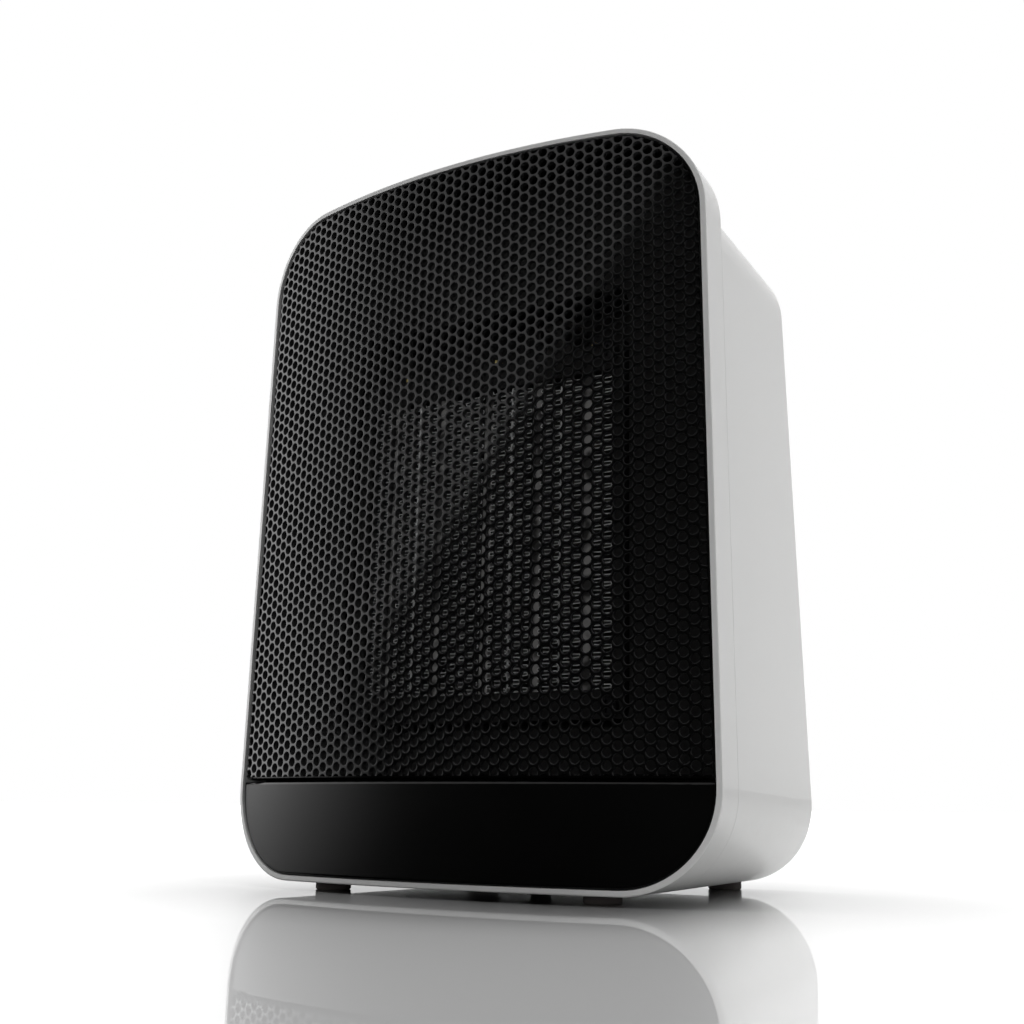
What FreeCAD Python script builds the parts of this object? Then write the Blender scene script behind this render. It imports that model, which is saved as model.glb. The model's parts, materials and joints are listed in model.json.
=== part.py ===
# Compact ceramic fan heater: a white two-part case with a convex black front,
# a PTC heating element in a black air tunnel, an axial fan on a shaded-pole
# motor, two top controls and a tip-over switch under the base.
# Millimetres. Z is up, the front faces -Y, the floor is z = 0 and the origin
# is the centre of the footprint.
import FreeCAD, Part
import math
import os

os.makedirs("parts", exist_ok=True)
V = FreeCAD.Vector

# ---------------------------------------------------------------- case sizes
body_width = 180.0         # across the front edge at the bottom of the case
width_at_top = 174.6       # the same edge at the top of the front frame
body_height = 237.4        # floor to the top of the front frame
body_depth = 100.0         # front frame's side edges to the rear face, at the bottom
front_bulge = 12.7         # how far the middle of the frame stands out before its sides
foot_height = 2.7          # gap under the case
top_arc_radius = 2100.0    # very slight arch of the frame's top
corner_low = 29.5          # bottom corner radius at the front
corner_high = 29.8         # top corner radius at the front
rear_corner_low = 26.4     # bottom corner radius at the rear
side_draft = 0.092         # how fast each side closes in towards the rear
rear_lean = 0.0686         # how fast the rear face leans forward with height
rear_edge_round = 5.0      # rounding between the sides and the rear face
housing_top = 222.0        # height of the rear housing's top face
housing_corner_front = 25.0
housing_corner_rear = 22.0
wall = 2.5                 # case walls
lip_width = 1.7            # white lip round the black front
frame_depth = 14.0         # depth of the front frame at its sides
frame_back = 2.2           # wall behind the raised top of the frame
case_seam = 0.15           # reveal between frame and housing
tongue_depth = 3.0         # locating tongue of the frame inside the housing
tongue_thickness = 1.5
tongue_clearance = 0.25
fit = 0.3                  # ordinary clearance between neighbouring parts
cut_margin = 1.0           # how far a cutting tool runs past the wall it opens
cut_reach = 80.0           # how far the large trimming blocks run past the case
lip_round = 0.5            # soft edge of the white lip

# ------------------------------------------------------------- front panels
panel_fit = 0.3            # clearance between black panels and the white frame
panel_proud = 0.3          # the grille's middle stands this far out of the frame
panel_edge_set = 0.7       # the grille's sides sit this far behind the lip
panel_thickness = 2.2
fascia_top = 33.8          # top edge of the plain lower panel
panel_seam = 0.9           # dark joint between the panels
fascia_bevel = 0.8
hole_reach = 6.0           # the hole tools run this far behind the grille's sides
hole_pitch = 17.0          # coarse stand-in for the fine perforation
hole_across = 13.6         # flat to flat
grille_border = 5.0

# ------------------------------------------------------------ inner carrier
carrier_plate = 2.0
tunnel_beside = 3.45       # room between the element frame and the tunnel's sides
tunnel_below = 2.7         # room under the element frame
tunnel_above = 16.7        # room over it for the thermal cut-out
tunnel_corner = 6.0
tunnel_wall = 1.8
tunnel_gap = 0.3           # tunnel end to the duct plate

# ---------------------------------------------------------- heating element
axis_height = 113.0        # centre of element, fan and motor above the floor
element_front = 13.6       # element face behind the frame's side edges
element_depth = 14.0
module_count = 5
module_pitch = 19.2
element_height = 102.0
bar_thickness = 3.4
separator_thickness = 0.5
bar_overhang = 4.0         # bars stand out of the fins at each end
fin_fold = 6.0             # one fold of the corrugated fins
fin_sheet = 0.7
element_clearance = 0.3
element_rim = 4.0          # side walls of the element frame
element_end = 9.0          # top and bottom blocks of the element frame
terminal_width = 6.3
terminal_length = 9.0
terminal_thickness = 0.8

# --------------------------------------------------------------- fan + duct
duct_plate = 2.0
duct_plate_side = 9.0      # plate's side edges outside the screws
duct_plate_end = 3.0       # its top and bottom edges past the tunnel
duct_screw_beside = 8.2    # screws outside the tunnel's walls
duct_bore = 52.0           # radius
duct_wall = 2.0
duct_length = 25.0
fan_radius = 49.5
fan_hub_radius = 14.0
fan_hub_length = 16.0
fan_hub_wall = 2.0
fan_blades = 7
blade_thickness = 1.6
blade_chord_root = 17.0
blade_chord_tip = 27.0
blade_angle_root = 48.0    # degrees from the plane of the fan
blade_angle_tip = 27.0
blade_reach = 20.0         # trimming tools run this far past the hub
fan_to_motor = 3.0         # hub to the motor strap
shaft_radius = 2.0
running_clearance = 0.04

# -------------------------------------------------------------------- motor
strap_thickness = 2.0
strap_height = 13.0
bridge_thickness = 2.5
bridge_height = 12.0
bridge_standoff = 3.5
motor_screw_offset = 20.0
core_stack = 16.0
core_half_width = 26.0
core_above = 18.0          # above the shaft
core_below = 42.0          # below the shaft
core_leg = 10.0            # height of the leg that carries the coil
rotor_radius = 12.6
rotor_gap = 0.5
rotor_overhang = 1.0
bush_radius = 4.5
bush_length = 6.0
coil_wind = 5.0
coil_length = 24.0
bobbin_wall = 1.2

# -------------------------------------------------- over-temperature cut-out
cutout_x = 24.0
cutout_radius = 7.5
cutout_height = 7.0
cutout_rise = 8.0          # its middle above the element frame
cutout_flange = 3.0
bracket_thickness = 1.2
bracket_width = 26.0
bracket_height = 11.0

# ----------------------------------------------------------------- controls
knob_margin = 30.0         # from each end of the control panel to the spindle
control_back = 47.0        # behind the frame's side edges
panel_recess_depth = 1.2
control_panel_width = 122.0
control_panel_length = 44.0
control_panel_thickness = 1.6
control_panel_corner = 8.0
knob_radius = 14.5
knob_height = 11.0
knob_lift = 0.5
knob_wall = 1.8
spindle_radius = 3.0
spindle_flat = 1.0         # depth of the D flat
spindle_clearance = 0.3
socket_depth = 8.0         # D socket in each knob
bar_width = 6.4            # finger bar of each knob
bar_setback = 1.4          # the bar's ends behind the knob's edge
disc_height = 4.0          # the round part of each knob
switch_side = 27.0
switch_height = 15.0
thermostat_side = 30.0
thermostat_height = 13.0
bush_collar_radius = 5.0
collar_clearance = 0.2
lens_radius = 3.5
lens_rise = 1.2

# --------------------------------------------------- feet, screws, openings
foot_radius = 5.65
foot_spacing = 99.8
front_foot_back = 4.5      # behind the frame's side edges
rear_foot_back = 91.5
foot_stem_radius = 2.4
foot_bulb_radius = 3.4
foot_bulb_height = 2.0
boss_radius = 5.0
screw_radius = 1.6
screw_head_radius = 3.3
screw_head_height = 2.2
screw_drive_width = 0.9
screw_clearance = 0.3
low_boss = (70.0, 22.5)    # across and height of the lower case bosses
high_boss = (65.0, 203.0)
boss_land = 14.0           # length of the boss in front of the screw head
duct_boss_rise = 54.0
duct_boss_radius = 4.0
duct_screw_length = 11.0
strap_screw_length = 8.0
pilot_depth = 14.0         # pilot holes for the duct screws
intake_side = 108.0
intake_flange = 4.0
intake_flange_thickness = 1.2
intake_plate = 2.4
intake_corner = 10.0
intake_fit = 0.2           # the intake grille's clearance in its ledge, each side
slot_height = 4.2
slot_pitch = 7.4
slot_columns = 3
slot_rib = 4.0
gland_across = 52.0
gland_height = 26.0
gland_bore = 3.6
gland_barrel = 6.0
gland_flange = 7.2
gland_flange_thickness = 1.0
gland_nut_radius = 9.0
gland_nut_thickness = 4.0
plunger_radius = 3.5
plunger_back = 52.0
plunger_lift = 0.4         # above the floor when the heater stands
plunger_travel = 3.0
plunger_clearance = 0.3
plunger_collar_radius = 5.6
plunger_collar = 1.6
guide_wall = 1.8
tip_switch_size = (20.0, 10.0, 12.0)
plunger_tip = 3.0          # the plunger's top end above its collar
tip_switch_foot = 2.4      # thickness of the switch's two legs
terminal_block_size = (24.0, 12.0, 11.0)
terminal_block_in = (32.0, 40.0)    # middle of the block: across, and in from the rear
wire_pitch = 8.0
wire_bore = 1.8
wire_rise = 4.5            # wire holes above the block's foot

# -------------------------------------------------------- positions along Y
front_y = -(body_depth - front_bulge - panel_proud) / 2.0   # frame's side edges
rear_y = front_y + body_depth
frame_rear_y = front_y + frame_depth
carrier_front_y = frame_rear_y - frame_back - fit - carrier_plate
element_y = front_y + element_front
duct_plate_y = element_y + element_depth + element_clearance
duct_end_y = duct_plate_y + duct_length
strap_y = duct_end_y
bridge_y = strap_y + strap_thickness
core_y = bridge_y + bridge_thickness + bridge_standoff
core_end_y = core_y + core_stack
rear_bridge_y = core_end_y + bridge_standoff
control_y = front_y + control_back
control_spacing = control_panel_width - 2 * knob_margin    # between the spindles
lean_degrees = math.degrees(math.atan(rear_lean))

# ------------------------------------- element frame, tunnel and duct plate
stack_width = module_count * module_pitch + separator_thickness
inner_half = stack_width / 2 + element_clearance
frame_half = inner_half + element_rim
end_in = element_height / 2 + element_clearance
frame_half_height = end_in + element_end
tunnel_width = 2 * (frame_half + tunnel_beside)
tunnel_height = 2 * frame_half_height + tunnel_below + tunnel_above
tunnel_z = axis_height + (tunnel_above - tunnel_below) / 2
duct_boss_across = tunnel_width / 2 + tunnel_wall + duct_screw_beside
duct_plate_width = 2 * (duct_boss_across + duct_plate_side)
duct_plate_height = tunnel_height + 2 * duct_plate_end


# ------------------------------------------------------------------ helpers
def box(x0, x1, y0, y1, z0, z1):
    return Part.makeBox(x1 - x0, y1 - y0, z1 - z0, V(x0, y0, z0))


def rod_y(radius, y0, y1, x=0.0, z=0.0):
    return Part.makeCylinder(radius, y1 - y0, V(x, y0, z), V(0, 1, 0))


def rod_z(radius, z0, z1, x=0.0, y=0.0):
    return Part.makeCylinder(radius, z1 - z0, V(x, y, z0), V(0, 0, 1))


def rounded_block(width, height, corner, y0, y1, z_mid=0.0):
    """Rounded rectangle facing Y, from y0 to y1, centred on x = 0."""
    block = box(-width / 2, width / 2, y0, y1, z_mid - height / 2, z_mid + height / 2)
    long_edges = [e for e in block.Edges if abs(e.tangentAt(e.FirstParameter).y) > 0.9]
    return block.makeFillet(corner, long_edges)


def export(shape, name):
    shape.exportStep("parts/" + name + ".step")


def group(shapes):
    return Part.makeCompound(shapes)


def rear_face_y(height):
    """Where the leaning rear face lies at a height above the floor."""
    return rear_y - rear_lean * (height - foot_height)


def on_rear_face(shape, across, height):
    """Move a shape drawn on the plane y = 0, outside towards +Y, to the rear face."""
    moved = shape.copy()
    moved.rotate(V(0, 0, 0), V(1, 0, 0), lean_degrees)
    moved.translate(V(across, rear_face_y(height), height))
    return moved


def section(y, inset, z_top, r_low, r_high, top_arch=None):
    """Outline of the case at y: leaning sides, round corners and a flat top, or one
    arched to the radius top_arch. The inset shrinks it evenly, for inner walls."""
    closing = side_draft * (y - front_y)
    slope = (body_width - width_at_top) / 2 / (body_height - foot_height)
    lean = math.atan(slope)
    half = body_width / 2 - closing - inset / math.cos(lean)
    z_low = foot_height + inset
    z_high = z_top - inset
    r_low = r_low - inset
    r_high = r_high - inset
    # lower corner, tangent to the bottom and the side
    zc = z_low + r_low
    xc = half - slope * (zc - foot_height) - r_low / math.cos(lean)
    # upper corner, tangent to the side and to the top
    p = half + slope * foot_height - r_high / math.cos(lean)
    if top_arch:
        arch = top_arch - inset
        c = z_high - arch
        reach = arch - r_high
        a = slope * slope + 1
        b = p * slope + c
        zt = (b + math.sqrt(b * b - a * (p * p + c * c - reach * reach))) / a
        xt = p - slope * zt
        tip = V(xt * arch / reach, 0, c + (zt - c) * arch / reach)
    else:
        zt = z_high - r_high
        xt = p - slope * zt
        tip = V(xt, 0, z_high)

    def at(x, z):
        return V(x, y, z)

    def corner(cx, cz, radius, start, end):
        mid = (start + end) / 2
        return [at(cx + radius * math.cos(t), cz + radius * math.sin(t)) for t in (start, mid, end)]

    turn = math.atan2(tip.z - zt, tip.x - xt)
    low = corner(xc, zc, r_low, -math.pi / 2, lean)
    high = corner(xt, zt, r_high, lean, turn)

    def mirrored(points):
        return [V(-q.x, q.y, q.z) for q in reversed(points)]

    low_left = mirrored(low)
    high_left = mirrored(high)
    if top_arch:
        top = Part.Arc(high[2], at(0, z_high), high_left[0]).toShape()
    else:
        top = Part.makeLine(high[2], high_left[0])
    edges = [
        Part.makeLine(low_left[2], low[0]),
        Part.Arc(*low).toShape(),
        Part.makeLine(low[2], high[0]),
        Part.Arc(*high).toShape(),
        top,
        Part.Arc(*high_left).toShape(),
        Part.makeLine(high_left[2], low_left[0]),
        Part.Arc(*low_left).toShape(),
    ]
    return Part.Wire(edges)


def case_block(y0, y1, inset, z_top, highs, top_arch=None):
    """Solid of the case outline from y0 to y1; highs are the top corner radii
    at the front frame's edge and at the rear."""
    def at(y):
        share = (y - front_y) / body_depth
        r_low = corner_low + (rear_corner_low - corner_low) * share
        r_high = highs[0] + (highs[1] - highs[0]) * share
        return section(y, inset, z_top, r_low, r_high, top_arch)
    return Part.makeLoft([at(y0), at(y1)], True, True)


def frame_block(y0, y1, inset):
    highs = (corner_high, corner_high)
    return case_block(y0, y1, inset, body_height, highs, top_arc_radius)


def housing_block(y0, y1, inset):
    return case_block(y0, y1, inset, housing_top, (housing_corner_front, housing_corner_rear))


def behind_rear(offset):
    """Everything behind the rear face, moved inwards by the offset."""
    slab = box(-body_width, body_width, -offset, cut_reach, -cut_reach, body_height + cut_reach)
    return on_rear_face(slab, 0, foot_height)


def convex(radius, crown_y):
    """Upright cylinder whose front line is at crown_y: the bulge of the front."""
    return rod_z(radius, -cut_margin, body_height + cut_margin, 0, crown_y + radius)


def bulge_radius(half_width, rise):
    return (half_width * half_width + rise * rise) / (2 * rise)


def screw(length, x, y, z, direction):
    """Pan-head screw; its head sits on y and its shank runs along the direction."""
    head = Part.makeCylinder(screw_head_radius, screw_head_height, V(0, 0, 0), V(0, -1, 0))
    rim = [e for e in head.Edges if e.BoundBox.YMax < -screw_head_height + 0.01]
    head = head.makeChamfer(0.6, [e for e in rim if e.Length > 4])
    shank = Part.makeCylinder(screw_radius, length, V(0, 0, 0), V(0, 1, 0))
    long_cut = box(-2.0, 2.0, -3, -1.2, -screw_drive_width / 2, screw_drive_width / 2)
    tall_cut = box(-screw_drive_width / 2, screw_drive_width / 2, -3, -1.2, -2.0, 2.0)
    body = head.fuse(shank).cut(long_cut).cut(tall_cut).removeSplitter()
    if direction < 0:
        body.rotate(V(0, 0, 0), V(0, 0, 1), 180)
    body.translate(V(x, y, z))
    return body


case_bosses = [(sx * low_boss[0], low_boss[1]) for sx in (-1, 1)]
case_bosses += [(sx * high_boss[0], high_boss[1]) for sx in (-1, 1)]
duct_bosses = [(sx * duct_boss_across, axis_height + sz * duct_boss_rise)
               for sx in (-1, 1) for sz in (-1, 1)]
spindles = [(-control_spacing / 2, control_y), (control_spacing / 2, control_y)]
front_feet = [(sx * foot_spacing / 2, front_y + front_foot_back) for sx in (-1, 1)]
rear_feet = [(sx * foot_spacing / 2, front_y + rear_foot_back) for sx in (-1, 1)]
boss_meet_y = frame_rear_y + tongue_depth          # carrier bosses meet housing bosses
screw_seat_y = boss_meet_y + boss_land

# -------------------------------------------------------------- front frame
frame_round = convex(bulge_radius(body_width / 2, front_bulge), front_y - front_bulge)
frame_front = front_y - front_bulge - 5
outer = frame_block(frame_front, frame_rear_y, 0.0).common(frame_round)
front_edges = [e for e in outer.Edges
               if e.BoundBox.YMax < front_y + 1.0 and e.BoundBox.YMin < front_y + 0.5]
outer = outer.makeFillet(lip_round, front_edges)
frame = outer.cut(frame_block(frame_front - 1, frame_rear_y + 1, lip_width))
back_wall = frame_block(frame_rear_y - frame_back, frame_rear_y, 0.5 * lip_width)
tongue = housing_block(frame_rear_y - 0.5, frame_rear_y + tongue_depth, wall + tongue_clearance)
frame = frame.fuse([back_wall, tongue])
inner_mouth = housing_block(frame_front, frame_rear_y + tongue_depth + 1,
                            wall + tongue_clearance + tongue_thickness)
frame = frame.cut(inner_mouth)
for x, y in front_feet:
    frame = frame.cut(rod_z(foot_stem_radius, 0, foot_height + lip_width + cut_margin, x, y))
frame = frame.removeSplitter()
export(frame, "front_frame")

# ------------------------------------------------------ grille and fascia
panel_inset = lip_width + panel_fit
panel_half = body_width / 2 - panel_inset
panel_edge_y = front_y - front_bulge * (1 - (panel_half / (body_width / 2)) ** 2) + panel_edge_set
panel_crown_y = front_y - front_bulge - panel_proud
panel_radius = bulge_radius(panel_half, panel_edge_y - panel_crown_y)
panel_round = convex(panel_radius, panel_crown_y)
panel_inner = convex(panel_radius - panel_thickness, panel_crown_y + panel_thickness)
panel_block = frame_block(frame_front, carrier_front_y, panel_inset).common(panel_round)
hollow = frame_block(frame_front, carrier_front_y + 1, panel_inset + panel_thickness)
panel_cup = panel_block.cut(hollow.common(panel_inner))

fascia_notch = foot_height + lip_width + foot_bulb_height + cut_margin
below = box(-body_width, body_width, frame_front, carrier_front_y + 2, -5, fascia_top)
fascia_block = panel_block.common(below)
fascia_hollow = hollow.common(panel_inner).common(
    box(-body_width, body_width, frame_front, carrier_front_y + 2, -5, fascia_top - panel_thickness))
bevel_edges = [e for e in fascia_block.Edges if e.BoundBox.YMax < panel_edge_y + 1.5]
fascia = fascia_block.makeFillet(fascia_bevel, bevel_edges).cut(fascia_hollow)
for x, y in front_feet:
    fascia = fascia.cut(rod_z(foot_bulb_radius + panel_fit, 0, fascia_notch, x, y))
export(fascia, "lower_fascia")

grille_low = fascia_top + panel_seam
above = box(-body_width, body_width, frame_front, carrier_front_y + 2, grille_low, body_height + 5)
grille = panel_cup.common(above)
sill = panel_block.common(box(-body_width, body_width, frame_front, carrier_front_y,
                              grille_low, grille_low + panel_thickness))
grille = grille.fuse(sill).removeSplitter()
clear_face = Part.Face(section(front_y, panel_inset + grille_border + hole_across / 2,
                               body_height, corner_low, corner_high))


def hex_prism(x, z, y0, y1):
    radius = hole_across / math.sqrt(3)
    points = [V(x + radius * math.cos(math.radians(60 * k)), y0,
                z + radius * math.sin(math.radians(60 * k))) for k in range(6)]
    return Part.Face(Part.makePolygon(points + [points[0]])).extrude(V(0, y1 - y0, 0))


column_pitch = hole_pitch * math.sqrt(3) / 2
columns = int(body_width / 2 / column_pitch) + 1
rows = int(body_height / hole_pitch) + 1
row_start = grille_low + grille_border + hole_across / 2
holes = []
for column in range(-columns, columns + 1):
    for row in range(rows):
        x = column * column_pitch
        z = row_start + (row + 0.5 * (column % 2)) * hole_pitch
        inside = clear_face.isInside(V(x, front_y, z), 0.01, True)
        if inside:
            holes.append(hex_prism(x, z, frame_front, panel_edge_y + hole_reach))
grille = grille.cut(group(holes))
export(grille, "front_grille")

# ------------------------------------------------------------------ carrier
carrier = frame_block(carrier_front_y, carrier_front_y + carrier_plate, panel_inset)
tunnel_end_y = duct_plate_y - tunnel_gap
carrier = carrier.fuse(rounded_block(tunnel_width + 2 * tunnel_wall, tunnel_height + 2 * tunnel_wall,
                                     tunnel_corner + tunnel_wall, carrier_front_y + 0.5,
                                     tunnel_end_y, tunnel_z))
carrier = carrier.cut(rounded_block(tunnel_width, tunnel_height, tunnel_corner,
                                    carrier_front_y - 1, tunnel_end_y + 1, tunnel_z))
for x, z in case_bosses:
    carrier = carrier.fuse(rod_y(boss_radius, carrier_front_y, boss_meet_y, x, z))
    carrier = carrier.cut(rod_y(screw_radius, carrier_front_y - 1, boss_meet_y + 1, x, z))
for x, y in front_feet:
    head_room = foot_bulb_radius + cut_margin
    carrier = carrier.cut(rod_z(head_room, 0, fascia_notch + cut_margin, x, y))
carrier = carrier.removeSplitter()
export(carrier, "air_carrier")

# ------------------------------------------------------------- rear housing
housing_front_y = frame_rear_y + case_seam
outer = housing_block(housing_front_y, rear_y + 8, 0.0).cut(behind_rear(0.0))
rear_face = max(outer.Faces, key=lambda f: f.CenterOfMass.y)
outer = outer.makeFillet(rear_edge_round, rear_face.Edges)
cavity = housing_block(housing_front_y - 1, rear_y + 8, wall).cut(behind_rear(wall))
housing = outer.cut(cavity)
ribs = [rod_y(boss_radius, boss_meet_y, rear_y, x, z) for x, z in case_bosses]
ribs += [rod_y(duct_boss_radius, duct_plate_y + duct_plate, rear_y, x, z) for x, z in duct_bosses]
guide_radius = plunger_collar_radius + plunger_clearance + guide_wall
guide_top = foot_height + wall + plunger_collar + plunger_travel + 1.0
plunger_y = front_y + plunger_back
ribs.append(rod_z(guide_radius, foot_height + 0.5, guide_top, 0, plunger_y))
trim = housing_block(housing_front_y - 1, rear_y + 8, 0.5 * wall).cut(behind_rear(0.5 * wall))
housing = housing.fuse([rib.common(trim) for rib in ribs])
for x, z in case_bosses:
    housing = housing.cut(rod_y(screw_radius + screw_clearance, boss_meet_y - 1, rear_y + 5, x, z))
    housing = housing.cut(rod_y(screw_head_radius + screw_clearance, screw_seat_y, rear_y + 5, x, z))
for x, z in duct_bosses:
    housing = housing.cut(rod_y(screw_radius, duct_plate_y, duct_plate_y + pilot_depth, x, z))
for x, y in rear_feet:
    housing = housing.cut(rod_z(foot_stem_radius, 0, foot_height + wall + 1, x, y))
housing = housing.cut(rod_z(plunger_radius + plunger_clearance, 0, guide_top + 1, 0, plunger_y))
housing = housing.cut(rod_z(plunger_collar_radius + plunger_clearance, foot_height + wall,
                            guide_top + 1, 0, plunger_y))
# rear intake: through opening with a shallow ledge for the grille's flange
flange_side = intake_side + 2 * intake_flange
opening = rounded_block(intake_side, intake_side, intake_corner, -wall - 1, 3)
ledge = rounded_block(flange_side + 2 * intake_fit, flange_side + 2 * intake_fit,
                      intake_corner + intake_flange, -intake_flange_thickness, 3)
housing = housing.cut(on_rear_face(opening.fuse(ledge), 0, axis_height))
housing = housing.cut(on_rear_face(rod_y(gland_barrel, -wall - 2, 3), gland_across, gland_height))
# shallow recess and spindle holes for the control panel in the top
recess = box(-control_panel_width / 2 - 0.2, control_panel_width / 2 + 0.2,
             control_y - control_panel_length / 2 - 0.2, control_y + control_panel_length / 2 + 0.2,
             housing_top - panel_recess_depth, housing_top + 5)
housing = housing.cut(recess)
for x, y in spindles:
    housing = housing.cut(rod_z(bush_collar_radius + collar_clearance, housing_top - 10,
                                housing_top + 5, x, y))
housing = housing.cut(rod_z(lens_radius, housing_top - 10, housing_top + 5, 0, control_y))
housing = housing.removeSplitter()
export(housing, "rear_housing")

# ------------------------------------------------------------ intake grille
intake = rounded_block(flange_side, flange_side, intake_corner + intake_flange - intake_fit,
                       -intake_flange_thickness, 0)
intake = intake.fuse(rounded_block(intake_side - 2 * fit, intake_side - 2 * fit,
                                   intake_corner - fit, -intake_plate, 0))
slot_area = intake_side - 2 * slot_rib
slot_rows = int(slot_area / slot_pitch)
slot_width = (slot_area - (slot_columns - 1) * slot_rib) / slot_columns
slots = []
for row in range(slot_rows):
    z = (row - (slot_rows - 1) / 2) * slot_pitch
    for column in range(slot_columns):
        x = (column - (slot_columns - 1) / 2) * (slot_width + slot_rib)
        slots.append(box(x - slot_width / 2, x + slot_width / 2, -intake_plate - 1, 1,
                         z - slot_height / 2, z + slot_height / 2))
intake = intake.cut(group(slots))
export(on_rear_face(intake, 0, axis_height), "intake_grille")

# --------------------------------------------------------------------- feet
feet = []
for x, y in front_feet + rear_feet:
    pad = rod_z(foot_radius, 0, foot_height, x, y)
    low_rim = [e for e in pad.Edges if e.BoundBox.ZMax < 0.01]
    pad = pad.makeChamfer(0.4, low_rim)
    bulb_z = foot_height + (lip_width if (x, y) in front_feet else wall)
    stem = rod_z(foot_stem_radius, foot_height - 0.2, bulb_z + 0.2, x, y)
    bulb = Part.makeCone(foot_bulb_radius, foot_stem_radius - 0.6, foot_bulb_height, V(x, y, bulb_z))
    feet.append(pad.fuse([stem, bulb]).removeSplitter())
export(group(feet), "rubber_feet")

# ------------------------------------------------------------- case screws
case_screw_length = screw_seat_y - carrier_front_y - 1.0
export(group([screw(case_screw_length, x, screw_seat_y, z, -1) for x, z in case_bosses]),
       "case_screws")

# ----------------------------------------------------------------- air duct
ear_across = frame_half - 5.0
ear_rise = end_in + element_end - 3.6
plate_z0 = tunnel_z - duct_plate_height / 2
duct = box(-duct_plate_width / 2, duct_plate_width / 2, duct_plate_y, duct_plate_y + duct_plate,
           plate_z0, plate_z0 + duct_plate_height)
duct = duct.fuse(rod_y(duct_bore + duct_wall, duct_plate_y, duct_end_y, 0, axis_height))
duct = duct.cut(rod_y(duct_bore, duct_plate_y - 1, duct_end_y + 1, 0, axis_height))
strap_half = duct_bore + duct_wall + 3
for sx in (-1, 1):
    lug_x = sx * strap_half
    lug = box(min(lug_x, sx * (duct_bore + 0.8)), max(lug_x, sx * (duct_bore + 0.8)),
              duct_plate_y + 0.5, duct_end_y, axis_height - strap_height / 2,
              axis_height + strap_height / 2)
    lug = lug.fuse(rod_y(strap_height / 2, duct_plate_y + 0.5, duct_end_y, lug_x, axis_height))
    lug = lug.cut(rod_y(duct_bore, duct_plate_y, duct_end_y + 1, 0, axis_height))
    duct = duct.fuse(lug)
    duct = duct.cut(rod_y(screw_radius, duct_end_y - 10, duct_end_y + 1, lug_x, axis_height))
for x, z in duct_bosses:
    duct = duct.cut(rod_y(screw_radius + screw_clearance, duct_plate_y - 1, duct_plate_y + 5, x, z))
ears = [(sx * ear_across, axis_height + sz * ear_rise) for sx in (-1, 1) for sz in (-1, 1)]
for x, z in ears:
    duct = duct.cut(rod_y(screw_radius, duct_plate_y - 1, duct_plate_y + 5, x, z))
for x, z in case_bosses:
    duct = duct.cut(rod_y(boss_radius + fit, duct_plate_y - 1, duct_plate_y + duct_plate + 1, x, z))
duct = duct.removeSplitter()
export(duct, "air_duct")
export(group([screw(duct_screw_length, x, duct_plate_y, z, 1) for x, z in duct_bosses]),
       "duct_screws")

# ---------------------------------------------------------- heating element
z_low = axis_height - element_height / 2
z_high = axis_height + element_height / 2
element_end_y = element_y + element_depth
fin_width = (module_pitch - separator_thickness - bar_thickness) / 2
boundaries = [(k - module_count / 2) * module_pitch for k in range(module_count + 1)]
centres = [(k + 0.5 - module_count / 2) * module_pitch for k in range(module_count)]

separators = [box(x - separator_thickness / 2, x + separator_thickness / 2,
                  element_y, element_end_y, z_low, z_high) for x in boundaries]
export(group(separators), "separator_plates")
bars = [box(x - bar_thickness / 2, x + bar_thickness / 2, element_y + 0.6, element_end_y - 0.6,
            z_low - bar_overhang, z_high + bar_overhang) for x in centres]
export(group(bars), "ptc_bars")


def fin_strip(x0, x1):
    """Corrugated strip between two plates, folded to and fro in X all the way up."""
    folds = int(element_height / fin_fold)
    step = element_height / folds / 2
    across = fin_sheet * math.hypot(x1 - x0, step) / step
    left = [(x0 if k % 2 == 0 else x1 - across, z_low + k * step) for k in range(2 * folds + 1)]
    right = [(x + across, z) for x, z in left]
    loop = [V(x, element_y, z) for x, z in left + list(reversed(right))]
    return Part.Face(Part.makePolygon(loop + [loop[0]])).extrude(V(0, element_depth, 0))


strips = []
for x in centres:
    edge = bar_thickness / 2
    strips.append(fin_strip(x - edge - fin_width, x - edge))
    strips.append(fin_strip(x + edge, x + edge + fin_width))
export(group(strips), "fin_strips")

# the frame's end blocks hold the bars; its side walls close the stack
element_frame = box(-frame_half, frame_half, element_y - 1.0, duct_plate_y,
                    axis_height - end_in - element_end, axis_height + end_in + element_end)
element_frame = element_frame.cut(box(-inner_half, inner_half, element_y - 2, duct_plate_y + 1,
                                      axis_height - end_in, axis_height + end_in))
slack = element_clearance
for x in centres:
    pocket = box(x - bar_thickness / 2 - slack, x + bar_thickness / 2 + slack,
                 element_y + 0.6 - slack, element_end_y - 0.6 + slack,
                 z_low - bar_overhang - slack, z_high + bar_overhang + slack)
    element_frame = element_frame.cut(pocket)
terminal_z = z_high + bar_overhang
terminals = []
for x in (centres[0], centres[module_count // 2], centres[-1]):
    tab = box(x - terminal_thickness / 2, x + terminal_thickness / 2,
              element_y + element_depth / 2 - terminal_width / 2,
              element_y + element_depth / 2 + terminal_width / 2,
              terminal_z, terminal_z + terminal_length)
    terminals.append(tab)
    hole = box(x - terminal_thickness / 2 - slack, x + terminal_thickness / 2 + slack,
               element_y + element_depth / 2 - terminal_width / 2 - slack,
               element_y + element_depth / 2 + terminal_width / 2 + slack,
               terminal_z - 1, terminal_z + terminal_length)
    element_frame = element_frame.cut(hole)
export(group(terminals), "element_terminals")
for x, z in ears:
    element_frame = element_frame.cut(rod_y(screw_radius + screw_clearance, element_y - 2,
                                            duct_plate_y + 1, x, z))
element_frame = element_frame.removeSplitter()
export(element_frame, "element_frame")
export(group([screw(duct_plate_y - element_y + 1.0 + duct_plate + 1.0, x, element_y - 1.0, z, 1)
              for x, z in ears]), "element_screws")

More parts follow.
